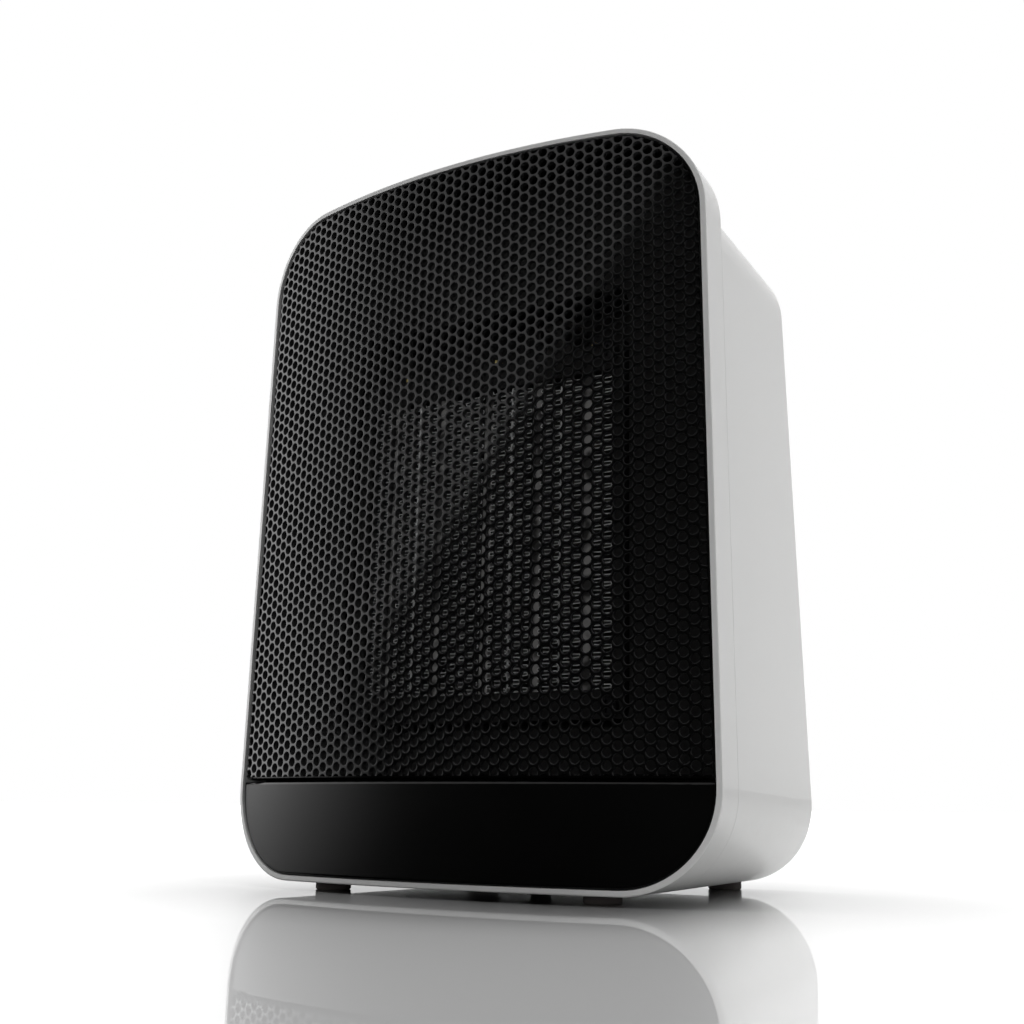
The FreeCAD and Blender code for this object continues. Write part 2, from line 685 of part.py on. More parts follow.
# ----------------------------------------------- over-temperature protection
cutout_z = axis_height + end_in + element_end + cutout_rise
bracket = box(cutout_x - bracket_width / 2, cutout_x + bracket_width / 2,
              duct_plate_y - bracket_thickness, duct_plate_y,
              cutout_z - bracket_height / 2, cutout_z + bracket_height / 2)
export(bracket, "cutout_bracket")
cutout = rod_y(cutout_radius - 1.0, duct_plate_y - bracket_thickness - cutout_height,
               duct_plate_y - bracket_thickness, cutout_x, cutout_z)
cutout = cutout.fuse(rod_y(cutout_radius, duct_plate_y - bracket_thickness - cutout_flange,
                           duct_plate_y - bracket_thickness, cutout_x, cutout_z))
for sx in (-1, 1):
    cutout = cutout.fuse(box(cutout_x + sx * 4 - 0.4, cutout_x + sx * 4 + 0.4,
                             duct_plate_y - bracket_thickness - cutout_height - 6,
                             duct_plate_y - bracket_thickness - cutout_height + 1,
                             cutout_z - 3, cutout_z + 3))
export(cutout.removeSplitter(), "thermal_cutout")

# -------------------------------------------------------------- motor mount
strap = box(-strap_half, strap_half, strap_y, strap_y + strap_thickness,
            axis_height - strap_height / 2, axis_height + strap_height / 2)
for sx in (-1, 1):
    strap = strap.fuse(rod_y(strap_height / 2, strap_y, strap_y + strap_thickness,
                             sx * strap_half, axis_height))
    strap = strap.cut(rod_y(screw_radius + screw_clearance, strap_y - 1, strap_y + 4,
                            sx * strap_half, axis_height))
    strap = strap.cut(rod_y(screw_radius + screw_clearance, strap_y - 1, strap_y + 4,
                            sx * motor_screw_offset, axis_height))
nose_room = bush_radius + 0.5
strap = strap.cut(rod_y(nose_room, strap_y - 1, strap_y + 4, 0, axis_height)).removeSplitter()
export(strap, "motor_strap")
export(group([screw(strap_screw_length, sx * strap_half, strap_y + strap_thickness, axis_height, -1)
              for sx in (-1, 1)]), "strap_screws")

# -------------------------------------------------------------------- motor
core = box(-core_half_width, core_half_width, core_y, core_end_y,
           axis_height - core_below, axis_height + core_above)
tall_edges = [e for e in core.Edges if abs(e.tangentAt(e.FirstParameter).y) > 0.9]
core = core.makeFillet(4.0, tall_edges)
rotor_bore = rotor_radius + rotor_gap
core = core.cut(rod_y(rotor_bore, core_y - 1, core_end_y + 1, 0, axis_height))
window_half = core_half_width - 9.0
window_top = axis_height - rotor_bore - 4.0
leg_top = axis_height - core_below + core_leg
core = core.cut(box(-window_half, window_half, core_y - 1, core_end_y + 1, leg_top, window_top))
for sx in (-1, 1):
    core = core.cut(rod_y(screw_radius + screw_clearance, core_y - 1, core_end_y + 1,
                          sx * motor_screw_offset, axis_height))
core = core.removeSplitter()
export(core, "motor_core")

# bobbin and winding round the lower leg
leg_low = axis_height - core_below


def leg_sleeve(length, grow_in, grow_out):
    """Rectangular sleeve round the core's lower leg."""
    sleeve = box(-length / 2, length / 2, core_y - grow_out, core_end_y + grow_out,
                 leg_low - grow_out, leg_top + grow_out)
    return sleeve.cut(box(-length, length, core_y - grow_in, core_end_y + grow_in,
                          leg_low - grow_in, leg_top + grow_in))


bobbin = leg_sleeve(coil_length, fit, fit + bobbin_wall)
for sx in (-1, 1):
    flange = leg_sleeve(bobbin_wall, fit, fit + bobbin_wall + coil_wind)
    flange.translate(V(sx * (coil_length - bobbin_wall) / 2, 0, 0))
    bobbin = bobbin.fuse(flange)
bobbin = bobbin.removeSplitter()
export(bobbin, "coil_bobbin")
winding = leg_sleeve(coil_length - 2 * bobbin_wall, fit + bobbin_wall,
                     fit + bobbin_wall + coil_wind - 0.6)
along = [e for e in winding.Edges if abs(e.tangentAt(e.FirstParameter).x) > 0.9
         and (e.BoundBox.ZMin < leg_low - 3 or e.BoundBox.ZMax > leg_top + 3)]
winding = winding.makeFillet(2.0, along)
export(winding, "motor_winding")


def bridge(plate_y, face_y):
    """Bearing bridge: a bar across the shaft with two feet that reach the core."""
    bar = box(-motor_screw_offset, motor_screw_offset, plate_y, plate_y + bridge_thickness,
              axis_height - bridge_height / 2, axis_height + bridge_height / 2)
    foot_y0 = min(plate_y, face_y)
    foot_y1 = max(plate_y + bridge_thickness, face_y)
    for sx in (-1, 1):
        bar = bar.fuse(rod_y(bridge_height / 2, plate_y, plate_y + bridge_thickness,
                             sx * motor_screw_offset, axis_height))
        bar = bar.fuse(rod_y(4.0, foot_y0, foot_y1, sx * motor_screw_offset, axis_height))
        bar = bar.cut(rod_y(screw_radius + screw_clearance, foot_y0 - 1, foot_y1 + 1,
                            sx * motor_screw_offset, axis_height))
    return bar.cut(rod_y(bush_radius, plate_y - 1, plate_y + bridge_thickness + 1,
                         0, axis_height)).removeSplitter()


export(bridge(bridge_y, core_y), "front_bridge")
export(bridge(rear_bridge_y, core_end_y), "rear_bridge")


def bush(y0):
    ring = rod_y(bush_radius, y0, y0 + bush_length, 0, axis_height)
    return ring.cut(rod_y(shaft_radius + running_clearance, y0 - 1, y0 + bush_length + 1,
                          0, axis_height))


front_bush_y = bridge_y + bridge_thickness - bush_length + 0.8
rear_bush_y = rear_bridge_y - 0.8
export(group([bush(front_bush_y), bush(rear_bush_y)]), "motor_bushes")
motor_screw_length = rear_bridge_y + bridge_thickness - strap_y + 1.0
export(group([screw(motor_screw_length, sx * motor_screw_offset,
                    rear_bridge_y + bridge_thickness, axis_height, -1) for sx in (-1, 1)]),
       "motor_screws")

# ----------------------------------------------------- rotor, shaft and fan
hub_end_y = strap_y - fan_to_motor
hub_y = hub_end_y - fan_hub_length
shaft_start_y = hub_y - 3.0
shaft_end_y = rear_bush_y + bush_length + 1.0
shaft = rod_y(shaft_radius, shaft_start_y, shaft_end_y, 0, axis_height)
export(shaft, "fan_shaft")
rotor = rod_y(rotor_radius, core_y - rotor_overhang, core_end_y + rotor_overhang, 0, axis_height)
rotor = rotor.cut(rod_y(shaft_radius, core_y - 5, core_end_y + 5, 0, axis_height))
export(rotor, "motor_rotor")

hub = rod_y(fan_hub_radius, hub_y, hub_end_y, 0, 0)
nose = [e for e in hub.Edges if e.BoundBox.YMax < hub_y + 0.01]
hub = hub.makeChamfer(2.4, nose)
hub = hub.cut(rod_y(fan_hub_radius - fan_hub_wall, hub_y + fan_hub_wall, hub_end_y + 1, 0, 0))
hub = hub.fuse(rod_y(shaft_radius + 2.2, hub_y + 0.5, hub_end_y, 0, 0))
hub_mid = (hub_y + hub_end_y) / 2


def blade_section(radius, chord, angle):
    """Cambered blade section across the radial direction (here X)."""
    a = math.radians(angle)
    half = chord / 2
    camber = chord * 0.09
    t = blade_thickness / 2

    def at(u, v):
        return V(radius, hub_mid + u * math.sin(a) + v * math.cos(a),
                 u * math.cos(a) - v * math.sin(a))

    over = Part.Arc(at(-half, t), at(0, camber + t), at(half, t)).toShape()
    under = Part.Arc(at(half, -t), at(0, camber - t), at(-half, -t)).toShape()
    return Part.Wire([over, Part.makeLine(at(half, t), at(half, -t)), under,
                      Part.makeLine(at(-half, -t), at(-half, t))])


root_section = blade_section(fan_hub_radius - 1.0, blade_chord_root, blade_angle_root)
tip_section = blade_section(fan_radius + 2.0, blade_chord_tip, blade_angle_tip)
blade = Part.makeLoft([root_section, tip_section], True, True)
tip_ring = rod_y(fan_radius, hub_y - blade_reach, hub_end_y + blade_reach)
hub_core = rod_y(fan_hub_radius - 0.5 * fan_hub_wall, hub_y - blade_reach, hub_end_y + blade_reach)
blade = blade.common(tip_ring).cut(hub_core)
fan = hub
for k in range(fan_blades):
    turned = blade.copy()
    turned.rotate(V(0, 0, 0), V(0, 1, 0), 360.0 * k / fan_blades)
    fan = fan.fuse(turned)
fan = fan.cut(rod_y(shaft_radius, hub_y - 1, hub_end_y + 1, 0, 0)).removeSplitter()
fan.translate(V(0, 0, axis_height))
export(fan, "fan_impeller")
clip = rod_y(shaft_radius + 2.5, hub_y - 1.2, hub_y, 0, axis_height)
clip = clip.cut(rod_y(shaft_radius, hub_y - 2, hub_y + 1, 0, axis_height))
clip = clip.cut(box(-0.9, 0.9, hub_y - 2, hub_y + 1, axis_height + 1, axis_height + 6))
export(clip, "fan_clip")

# ------------------------------------------------------------ control panel
panel_z = housing_top - panel_recess_depth
plate = Part.makeBox(control_panel_width, control_panel_length, control_panel_thickness,
                     V(-control_panel_width / 2, control_y - control_panel_length / 2, panel_z))
plate = plate.makeFillet(0.4, [e for e in plate.Edges if e.BoundBox.ZMin > panel_z + 1.0])
for x, y in spindles:
    plate = plate.cut(rod_z(bush_collar_radius + collar_clearance, panel_z - 1, panel_z + 5, x, y))
plate = plate.cut(rod_z(lens_radius, panel_z - 1, panel_z + 5, 0, control_y))
export(plate, "control_panel")

panel_top = panel_z + control_panel_thickness
inner_top = housing_top - wall
lens = rod_z(lens_radius, inner_top - 3.0, panel_top + lens_rise, 0, control_y)
crown = [e for e in lens.Edges if e.BoundBox.ZMin > panel_top + lens_rise - 0.01]
lens = lens.makeFillet(0.8, crown)
lens = lens.fuse(rod_z(lens_radius + 1.2, inner_top - 1.0, inner_top, 0, control_y))
export(lens.removeSplitter(), "pilot_lens")
export(rod_z(lens_radius - 0.5, inner_top - 14.0, inner_top - 3.0, 0, control_y), "pilot_lamp")


def control_body(side, height, x, y):
    """Switch body under the top wall with a collar up through wall and panel."""
    body = box(x - side / 2, x + side / 2, y - side / 2, y + side / 2,
               inner_top - height, inner_top)
    corners = [e for e in body.Edges if abs(e.tangentAt(e.FirstParameter).z) > 0.9]
    body = body.makeFillet(2.5, corners)
    body = body.fuse(rod_z(bush_collar_radius, inner_top - 1, panel_top, x, y))
    return body.cut(rod_z(spindle_radius + running_clearance, inner_top - height + 3.0,
                          panel_top + 1, x, y))


def tabs(side, height, x, y, count):
    """Row of flat terminals under a switch body."""
    low = inner_top - height
    row = []
    for k in range(count):
        tx = x + (k - (count - 1) / 2) * (side - 8) / max(count - 1, 1)
        row.append(box(tx - 0.4, tx + 0.4, y - 3.15, y + 3.15, low - 7.0, low + 1.0))
    return row


mode_x, mode_y = spindles[0]
warm_x, warm_y = spindles[1]
switch = control_body(switch_side, switch_height, mode_x, mode_y)
switch = switch.fuse(tabs(switch_side, switch_height, mode_x, mode_y, 3)).removeSplitter()
export(switch, "mode_switch")
thermostat = control_body(thermostat_side, thermostat_height, warm_x, warm_y)
thermostat = thermostat.fuse(tabs(thermostat_side, thermostat_height, warm_x, warm_y, 2))
arm_z = inner_top - thermostat_height
thermostat = thermostat.fuse(box(warm_x - 3.5, warm_x + 3.5, warm_y - thermostat_side / 2 - 8,
                                 warm_y - thermostat_side / 2 + 1, arm_z, arm_z + 1.2))
export(thermostat.removeSplitter(), "thermostat_body")

knob_z = panel_top + knob_lift
knob_top = knob_z + knob_height


def flatted_rod(radius, z0, z1, x, y, flat_z):
    """Spindle with a D flat from flat_z upwards; the flat faces +Y."""
    rod = rod_z(radius, z0, z1, x, y)
    return rod.cut(box(x - radius, x + radius, y + radius - spindle_flat, y + radius + 1,
                       flat_z, z1 + 1))


def knob(x, y):
    """Round knob with a finger bar, hollow below, on a D socket."""
    body = Part.makeCone(knob_radius, knob_radius - 1.0, disc_height, V(x, y, knob_z))
    bar = box(x - bar_width / 2, x + bar_width / 2, y - knob_radius + bar_setback,
              y + knob_radius - bar_setback, knob_z + disc_height - 1.0, knob_top)
    ends = [e for e in bar.Edges if abs(e.tangentAt(e.FirstParameter).z) > 0.9]
    bar = bar.makeFillet(2.6, ends)
    bar = bar.makeFillet(1.0, [e for e in bar.Edges if e.BoundBox.ZMin > knob_top - 0.01])
    body = body.fuse(bar)
    hollow = rod_z(knob_radius - knob_wall - 0.4, knob_z - 1, knob_z + 2.2, x, y)
    hollow = hollow.cut(rod_z(spindle_radius + knob_wall, knob_z - 2, knob_z + 3, x, y))
    body = body.cut(hollow)
    socket = flatted_rod(spindle_radius, knob_z - 1, knob_z + socket_depth, x, y, knob_z - 1)
    return body.cut(socket).removeSplitter()


def spindle(height, x, y):
    bottom = inner_top - height + 3.0 + spindle_clearance
    return flatted_rod(spindle_radius, bottom, knob_z + socket_depth - spindle_clearance,
                       x, y, knob_z)


export(knob(mode_x, mode_y), "mode_knob")
export(spindle(switch_height, mode_x, mode_y), "mode_spindle")
export(knob(warm_x, warm_y), "thermostat_knob")
export(spindle(thermostat_height, warm_x, warm_y), "thermostat_spindle")

# ------------------------------------------------------------ mains entry
gland = rod_y(gland_flange, 0, gland_flange_thickness)
outer_rim = [e for e in gland.Edges if e.BoundBox.YMin > gland_flange_thickness - 0.01]
gland = gland.makeChamfer(0.4, outer_rim)
gland_length = wall + gland_nut_thickness + 2.0
gland = gland.fuse(rod_y(gland_barrel - 0.2, -gland_length, 0.2))
gland = gland.cut(rod_y(gland_bore, -gland_length - 1, gland_flange_thickness + 1))
export(on_rear_face(gland, gland_across, gland_height), "cable_gland")
points = [V(gland_nut_radius * math.cos(math.radians(60 * k)), -wall,
            gland_nut_radius * math.sin(math.radians(60 * k))) for k in range(6)]
nut = Part.Face(Part.makePolygon(points + [points[0]])).extrude(V(0, -gland_nut_thickness, 0))
nut = nut.cut(rod_y(gland_barrel - 0.2, -wall - gland_nut_thickness - 1, 0))
export(on_rear_face(nut, gland_across, gland_height), "gland_nut")

floor_z = foot_height + wall
block_width, block_depth, block_height = terminal_block_size
block_x = terminal_block_in[0]
block_y = rear_y - terminal_block_in[1]
block = box(block_x - block_width / 2, block_x + block_width / 2, block_y - block_depth / 2,
            block_y + block_depth / 2, floor_z, floor_z + block_height)
for k in (-1, 0, 1):
    wire_x = block_x + k * wire_pitch
    block = block.cut(rod_y(wire_bore, block_y - block_depth, block_y + block_depth,
                            wire_x, floor_z + wire_rise))
    block = block.cut(rod_z(wire_bore, floor_z + wire_rise, floor_z + block_height + 1,
                            wire_x, block_y))
export(block.removeSplitter(), "terminal_block")

# ---------------------------------------------------------- tip-over switch
plunger_top = foot_height + wall + plunger_collar + plunger_travel
plunger = rod_z(plunger_radius, plunger_lift, plunger_top + plunger_tip, 0, plunger_y)
low_rim = [e for e in plunger.Edges if e.BoundBox.ZMax < plunger_lift + 0.01]
plunger = plunger.makeChamfer(0.8, low_rim)
plunger = plunger.fuse(rod_z(plunger_collar_radius, plunger_top - plunger_collar + fit,
                             plunger_top + fit, 0, plunger_y))
export(plunger.removeSplitter(), "tip_plunger")
sw, sd, sh = tip_switch_size
switch_z = plunger_top + plunger_tip + fit
tip = box(-sw / 2, sw / 2, plunger_y - sd / 2, plunger_y + sd / 2, switch_z, switch_z + sh)
for sx in (-1, 1):
    post_x = sx * (guide_radius + 2.5)
    tip = tip.fuse(box(min(post_x, sx * (sw / 2 - 2)), max(post_x, sx * (sw / 2 - 2)),
                       plunger_y - sd / 2, plunger_y + sd / 2, switch_z, switch_z + 3))
    tip = tip.fuse(box(post_x - tip_switch_foot / 2, post_x + tip_switch_foot / 2,
                       plunger_y - sd / 2, plunger_y + sd / 2, floor_z, switch_z + 3))
export(tip.removeSplitter(), "tip_switch")
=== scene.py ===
# %% [markdown]
# # A compact ceramic fan heater
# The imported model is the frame: every case part, screw, fan blade and switch is already
# at its real size and place. This lesson dresses it. Where a CAD piece has the right
# shape it only gets a finish; where the real thing is finer than the CAD piece, as the
# perforated front and the heating fins are, a new piece is modelled in its place.

# %% Load the frame
import bpy
import bmesh
import json
import math
from mathutils import Matrix, Vector

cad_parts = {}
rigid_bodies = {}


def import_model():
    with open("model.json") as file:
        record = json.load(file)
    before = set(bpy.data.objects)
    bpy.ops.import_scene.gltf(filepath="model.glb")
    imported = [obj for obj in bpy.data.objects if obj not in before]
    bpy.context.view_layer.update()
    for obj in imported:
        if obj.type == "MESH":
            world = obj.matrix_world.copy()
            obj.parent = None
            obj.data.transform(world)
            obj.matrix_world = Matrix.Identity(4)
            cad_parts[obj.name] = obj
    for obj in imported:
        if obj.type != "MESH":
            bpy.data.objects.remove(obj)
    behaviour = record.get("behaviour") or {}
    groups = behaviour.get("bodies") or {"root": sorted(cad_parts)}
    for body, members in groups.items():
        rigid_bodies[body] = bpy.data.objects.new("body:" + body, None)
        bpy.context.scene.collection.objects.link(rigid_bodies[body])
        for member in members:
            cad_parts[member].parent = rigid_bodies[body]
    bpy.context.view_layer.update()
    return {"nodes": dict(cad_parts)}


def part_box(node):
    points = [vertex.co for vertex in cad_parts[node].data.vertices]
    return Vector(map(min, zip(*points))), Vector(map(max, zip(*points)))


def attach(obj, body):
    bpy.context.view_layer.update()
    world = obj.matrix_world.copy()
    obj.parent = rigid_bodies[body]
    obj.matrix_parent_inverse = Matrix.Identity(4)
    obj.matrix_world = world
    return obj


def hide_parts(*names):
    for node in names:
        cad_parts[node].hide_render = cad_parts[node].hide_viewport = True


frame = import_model()
nodes = frame["nodes"]

# %% [markdown]
# ## Working by selection
# Blender's operators act on whatever is selected. These helpers do what the mouse would:
# clear the selection, enter edit mode on one piece, and select by place or by normal.
# They keep the modelling cells short, and each piece ends with its origin at the world's,
# a body to ride and a finish.

# %% Helpers for selecting and editing
MM = 0.001


def only(piece):
    """Make one object the selected and active one."""
    if bpy.context.mode != "OBJECT":
        bpy.ops.object.mode_set(mode="OBJECT")
    bpy.ops.object.select_all(action="DESELECT")
    piece.select_set(True)
    bpy.context.view_layer.objects.active = piece


def nothing():
    """Leave edit mode with nothing selected, ready for a new primitive."""
    if bpy.context.mode != "OBJECT":
        bpy.ops.object.mode_set(mode="OBJECT")
    bpy.ops.object.select_all(action="DESELECT")


def named(name):
    """Name the primitive that was just added."""
    piece = bpy.context.active_object
    piece.name = name
    piece.data.name = name
    return piece


def edit(piece):
    """Enter edit mode on one object."""
    only(piece)
    bpy.ops.object.mode_set(mode="EDIT")


def centre(part):
    """Middle of a vertex, an edge or a face."""
    if isinstance(part, bmesh.types.BMVert):
        return part.co
    if isinstance(part, bmesh.types.BMEdge):
        return (part.verts[0].co + part.verts[1].co) / 2
    return part.calc_center_median()


def pick(piece, kind, test):
    """In edit mode, select the vertices, edges or faces that pass the test."""
    bpy.ops.mesh.select_mode(type=kind)
    bpy.ops.mesh.select_all(action="DESELECT")
    mesh = bmesh.from_edit_mesh(piece.data)
    parts = {"VERT": mesh.verts, "EDGE": mesh.edges, "FACE": mesh.faces}[kind]
    for part in [part for part in parts if test(part)]:
        part.select_set(True)
    mesh.select_flush_mode()
    bmesh.update_edit_mesh(piece.data)


def open_edges(piece):
    """In edit mode, select the edges that bound a gap in the surface, and print how many."""
    bpy.ops.mesh.select_all(action="DESELECT")
    bpy.ops.mesh.select_mode(type="EDGE")
    bpy.ops.mesh.select_non_manifold(extend=False)
    print("open edges", sum(e.select for e in bmesh.from_edit_mesh(piece.data).edges))


def with_modifier(piece, kind, **settings):
    """Add a modifier, set it up and apply it."""
    only(piece)
    modifier = piece.modifiers.new(kind.title(), kind)
    for key, value in settings.items():
        setattr(modifier, key, value)
    bpy.ops.object.modifier_apply(modifier=modifier.name)


def finished(piece, body, material, smooth=40):
    """Set the origin, smooth by angle, and give the piece its body, slot and material."""
    only(piece)
    bpy.ops.object.transform_apply(location=True, rotation=True, scale=True)
    bpy.ops.object.shade_smooth_by_angle(angle=math.radians(smooth))
    piece.data.materials.clear()
    piece.data.materials.append(material)
    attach(piece, body)
    triangles = sum(len(p.vertices) - 2 for p in piece.data.polygons)
    print(piece.name, triangles, "triangles")


def second_finish(piece, material, test):
    """Give the faces that pass the test a material of their own."""
    piece.data.materials.append(material)
    edit(piece)
    piece.active_material_index = 1
    pick(piece, "FACE", test)
    bpy.ops.object.material_slot_assign()
    nothing()


# %% [markdown]
# ## Finishes
# Every finish is a Principled shader with noise worked into its colour, roughness and
# bump. The noise reads Object coordinates, so it stays on the part in every view and
# pose. Its scale is in waves per metre: 2500 gives a grain of about 0.4 mm. Image
# textures would need unwrapping; noise needs none and is as sharp from close up.

# %% A builder for moulded and metal finishes
patch_spread = 40                  # the broad patches are this many times the grain


def finish(name, colour, roughness, metallic=0.0, grain=2500.0, bump=0.02, vary=0.05,
           rough_vary=0.08, patch=0.3, bands=None, **sockets):
    """Principled material with a fine grain: noise tints it, roughens it and bumps it.

    A small patch value gives the tint hard-edged patches. bands is an axis, a pitch and
    a depth in metres, for wound wire, stacked sheet or a ribbed lens.
    """
    material = bpy.data.materials.new(name)
    material.use_nodes = True
    tree = material.node_tree
    shader = tree.nodes["Principled BSDF"]
    shader.inputs["Metallic"].default_value = metallic
    for key, value in sockets.items():
        shader.inputs[key.replace("_", " ")].default_value = value
    place = tree.nodes.new("ShaderNodeTexCoord")
    fine = tree.nodes.new("ShaderNodeTexNoise")
    fine.inputs["Scale"].default_value = grain
    fine.inputs["Detail"].default_value = 3.0
    broad = tree.nodes.new("ShaderNodeTexNoise")
    broad.inputs["Scale"].default_value = grain / patch_spread
    broad.inputs["Detail"].default_value = 2.0
    for noise in (fine, broad):
        tree.links.new(place.outputs["Object"], noise.inputs["Vector"])
    tint = tree.nodes.new("ShaderNodeMix")
    tint.data_type = "RGBA"
    darker = [channel * (1 - vary) for channel in colour]
    lighter = [min(channel * (1 + vary), 1.0) for channel in colour]
    tint.inputs["A"].default_value = (*darker, 1.0)
    tint.inputs["B"].default_value = (*lighter, 1.0)
    patches = tree.nodes.new("ShaderNodeMapRange")
    patches.inputs["From Min"].default_value = 0.5 - patch
    patches.inputs["From Max"].default_value = 0.5 + patch
    tree.links.new(broad.outputs["Fac"], patches.inputs["Value"])
    tree.links.new(patches.outputs["Result"], tint.inputs["Factor"])
    tree.links.new(tint.outputs["Result"], shader.inputs["Base Color"])
    spread = tree.nodes.new("ShaderNodeMapRange")
    spread.inputs["To Min"].default_value = max(roughness - rough_vary, 0.02)
    spread.inputs["To Max"].default_value = min(roughness + rough_vary, 1.0)
    tree.links.new(fine.outputs["Fac"], spread.inputs["Value"])
    tree.links.new(spread.outputs["Result"], shader.inputs["Roughness"])
    relief = tree.nodes.new("ShaderNodeBump")
    relief.inputs["Strength"].default_value = 1.0
    relief.inputs["Distance"].default_value = bump * MM
    tree.links.new(fine.outputs["Fac"], relief.inputs["Height"])
    normal = relief.outputs["Normal"]
    if bands:
        axis, pitch, depth = bands
        wave = tree.nodes.new("ShaderNodeTexWave")
        wave.bands_direction = axis
        wave.inputs["Scale"].default_value = math.pi / 10 / pitch
        tree.links.new(place.outputs["Object"], wave.inputs["Vector"])
        tree.links.new(wave.outputs["Fac"], tint.inputs["Factor"])
        ridges = tree.nodes.new("ShaderNodeBump")
        ridges.inputs["Distance"].default_value = depth
        tree.links.new(wave.outputs["Fac"], ridges.inputs["Height"])
        tree.links.new(normal, ridges.inputs["Normal"])
        normal = ridges.outputs["Normal"]
    tree.links.new(normal, shader.inputs["Normal"])
    return material


def dress(material, *names):
    """Give CAD nodes a finish without touching their meshes."""
    for name in names:
        for material_slot in nodes[name].material_slots:
            material_slot.material = material


# %% [markdown]
# The outside needs few finishes: satin white plastic for the case, a deep black gloss
# for the front and a softer one for the fascia, dark grey for the controls. Inside,
# the fine bands stand for what is too small to model: the core's stacked sheets and
# the wire on the coil.

# %% The plastics and rubber
white_case = finish("white_case", (0.72, 0.72, 0.72), 0.42, grain=1800, bump=0.006, vary=0.01)
black_gloss = finish("black_gloss", (0.003, 0.003, 0.003), 0.06, grain=1500, bump=0.0003,
                     vary=0.3, rough_vary=0.02, IOR=1.42)
fascia_gloss = finish("fascia_gloss", (0.003, 0.003, 0.003), 0.24, grain=1500, bump=0.0005,
                      vary=0.3, rough_vary=0.03, IOR=1.31)
black_matt = finish("black_matt", (0.045, 0.045, 0.046), 0.5, grain=1500, bump=0.002, vary=0.2)
black_screw = finish("black_screw", (0.03, 0.03, 0.032), 0.4, metallic=0.6, grain=1500, bump=0.004)
ptc_film = finish("ptc_film", (0.27, 0.265, 0.26), 0.4, grain=5000, bump=0.01, vary=0.85,
                  patch=0.06)
phenolic = finish("phenolic", (0.014, 0.012, 0.011), 0.45, grain=1800, bump=0.01, vary=0.2)
black_inner = finish("black_inner", (0.006, 0.006, 0.006), 0.28, grain=1500, bump=0.004, vary=0.2)
control_grey = finish("control_grey", (0.20, 0.205, 0.21), 0.45, bump=0.008)
foot_rubber = finish("foot_rubber", (0.40, 0.345, 0.305), 0.75, grain=1200, bump=0.03, vary=0.15)
cream_moulding = finish("cream_moulding", (0.70, 0.62, 0.45), 0.5, grain=1500, bump=0.01)
amber_lens = finish("amber_lens", (0.9, 0.35, 0.05), 0.12, bump=0.002, vary=0.05,
                    bands=("X", 0.9 * MM, 0.05 * MM))
print_white = finish("print_white", (0.85, 0.85, 0.85), 0.5, grain=4000, bump=0.004, vary=0.03)
lamp_glass = finish("lamp_glass", (0.9, 0.85, 0.8), 0.08, bump=0.001, vary=0.02)

# %% The metals
zinc_screw = finish("zinc_screw", (0.62, 0.62, 0.64), 0.32, metallic=1.0, grain=1500, bump=0.004)
fin_aluminium = finish("fin_aluminium", (0.72, 0.73, 0.74), 0.42, metallic=1.0, grain=1200,
                       bump=0.01, vary=0.08)
# The fin ribbon's leaves: a dark grey metal, painted shade for the dark between the folds.
painted_shade_leaf = finish("painted_shade_leaf", (0.10, 0.10, 0.10), 0.3, metallic=1.0, bump=0.004)
# The ribbon's cut front faces: a pale matt white rather than metal, a painted highlight on the edges.
painted_highlight_edge = finish("painted_highlight_edge", (0.95, 0.95, 0.95), 0.5, bump=0.004, vary=0.03)
steel_sheet = finish("steel_sheet", (0.58, 0.59, 0.60), 0.35, metallic=1.0, grain=9000,
                     bump=0.004, vary=0.12, patch=0.08)
core_steel = finish("core_steel", (0.30, 0.31, 0.33), 0.45, metallic=0.9, bump=0.004, vary=0.35,
                    bands=("Y", 0.5 * MM, 0.08 * MM))
copper_wire = finish("copper_wire", (0.50, 0.18, 0.07), 0.3, metallic=1.0, bump=0.003, vary=0.4,
                     bands=("Y", 0.45 * MM, 0.15 * MM))
bronze_bush = finish("bronze_bush", (0.45, 0.29, 0.14), 0.45, metallic=1.0, grain=5000,
                     bump=0.03, vary=0.2)
terminal_brass = finish("terminal_brass", (0.42, 0.32, 0.17), 0.45, metallic=1.0, bump=0.006,
                        vary=0.2)

# %% Dress the CAD pieces
by_slot = {m.name: m for m in (white_case, black_gloss, black_inner, control_grey, foot_rubber,
                               zinc_screw, fin_aluminium, steel_sheet, cream_moulding,
                               copper_wire, bronze_bush, terminal_brass, amber_lens, lamp_glass)}
for node in nodes.values():
    for material_slot in node.material_slots:
        if material_slot.material:
            slot_name = material_slot.material.name.split(".")[0]
            material_slot.material = by_slot.get(slot_name, material_slot.material)

dress(fascia_gloss, "lower_fascia")
dress(black_screw, "element_screws", "case_screws", "cutout_bracket")
dress(ptc_film, "ptc_bars")
dress(phenolic, "thermal_cutout")
dress(core_steel, "motor_core")
print("dressed", len(nodes), "CAD pieces")

# %% [markdown]
# ## The perforated front
# The real grille is one black moulding, convex across its width, with nearly three
# thousand round holes on a hexagonal lattice that run right up to its edge. It could be
# cut with Booleans, which is slow and leaves poor faces, or built from one clean cell
# that is arrayed, trimmed and bent. The second way gives every hole the same soft rim,
# so it is used here. Sizes that the CAD grille already has are read from its box.

# %% Measure the CAD grille
grille_low, grille_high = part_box("front_grille")
crown_y = grille_low.y
back_y = grille_high.y
half_width = grille_high.x
edge_y = min(v.co.y for v in nodes["front_grille"].data.vertices if v.co.x > half_width - 0.5 * MM)
bulge = edge_y - crown_y
front_radius = (half_width ** 2 + bulge ** 2) / (2 * bulge)
side_lean = 2.7 / 234.7            # each side leans in 2.7 mm over 234.7 mm of height
top_corner = 27.8 * MM
top_arch = 2100.0 * MM             # radius of the slightly arched top
print("front radius", round(front_radius / MM, 1), "mm")


# %% [markdown]
# The outline is laid out flat, as if the curved front were unrolled. It is a convex
# polygon, so one straight cut per side trims the sheet to it. The sides lean in a
# little, the top corners are wide arcs, and the top edge is slightly arched.

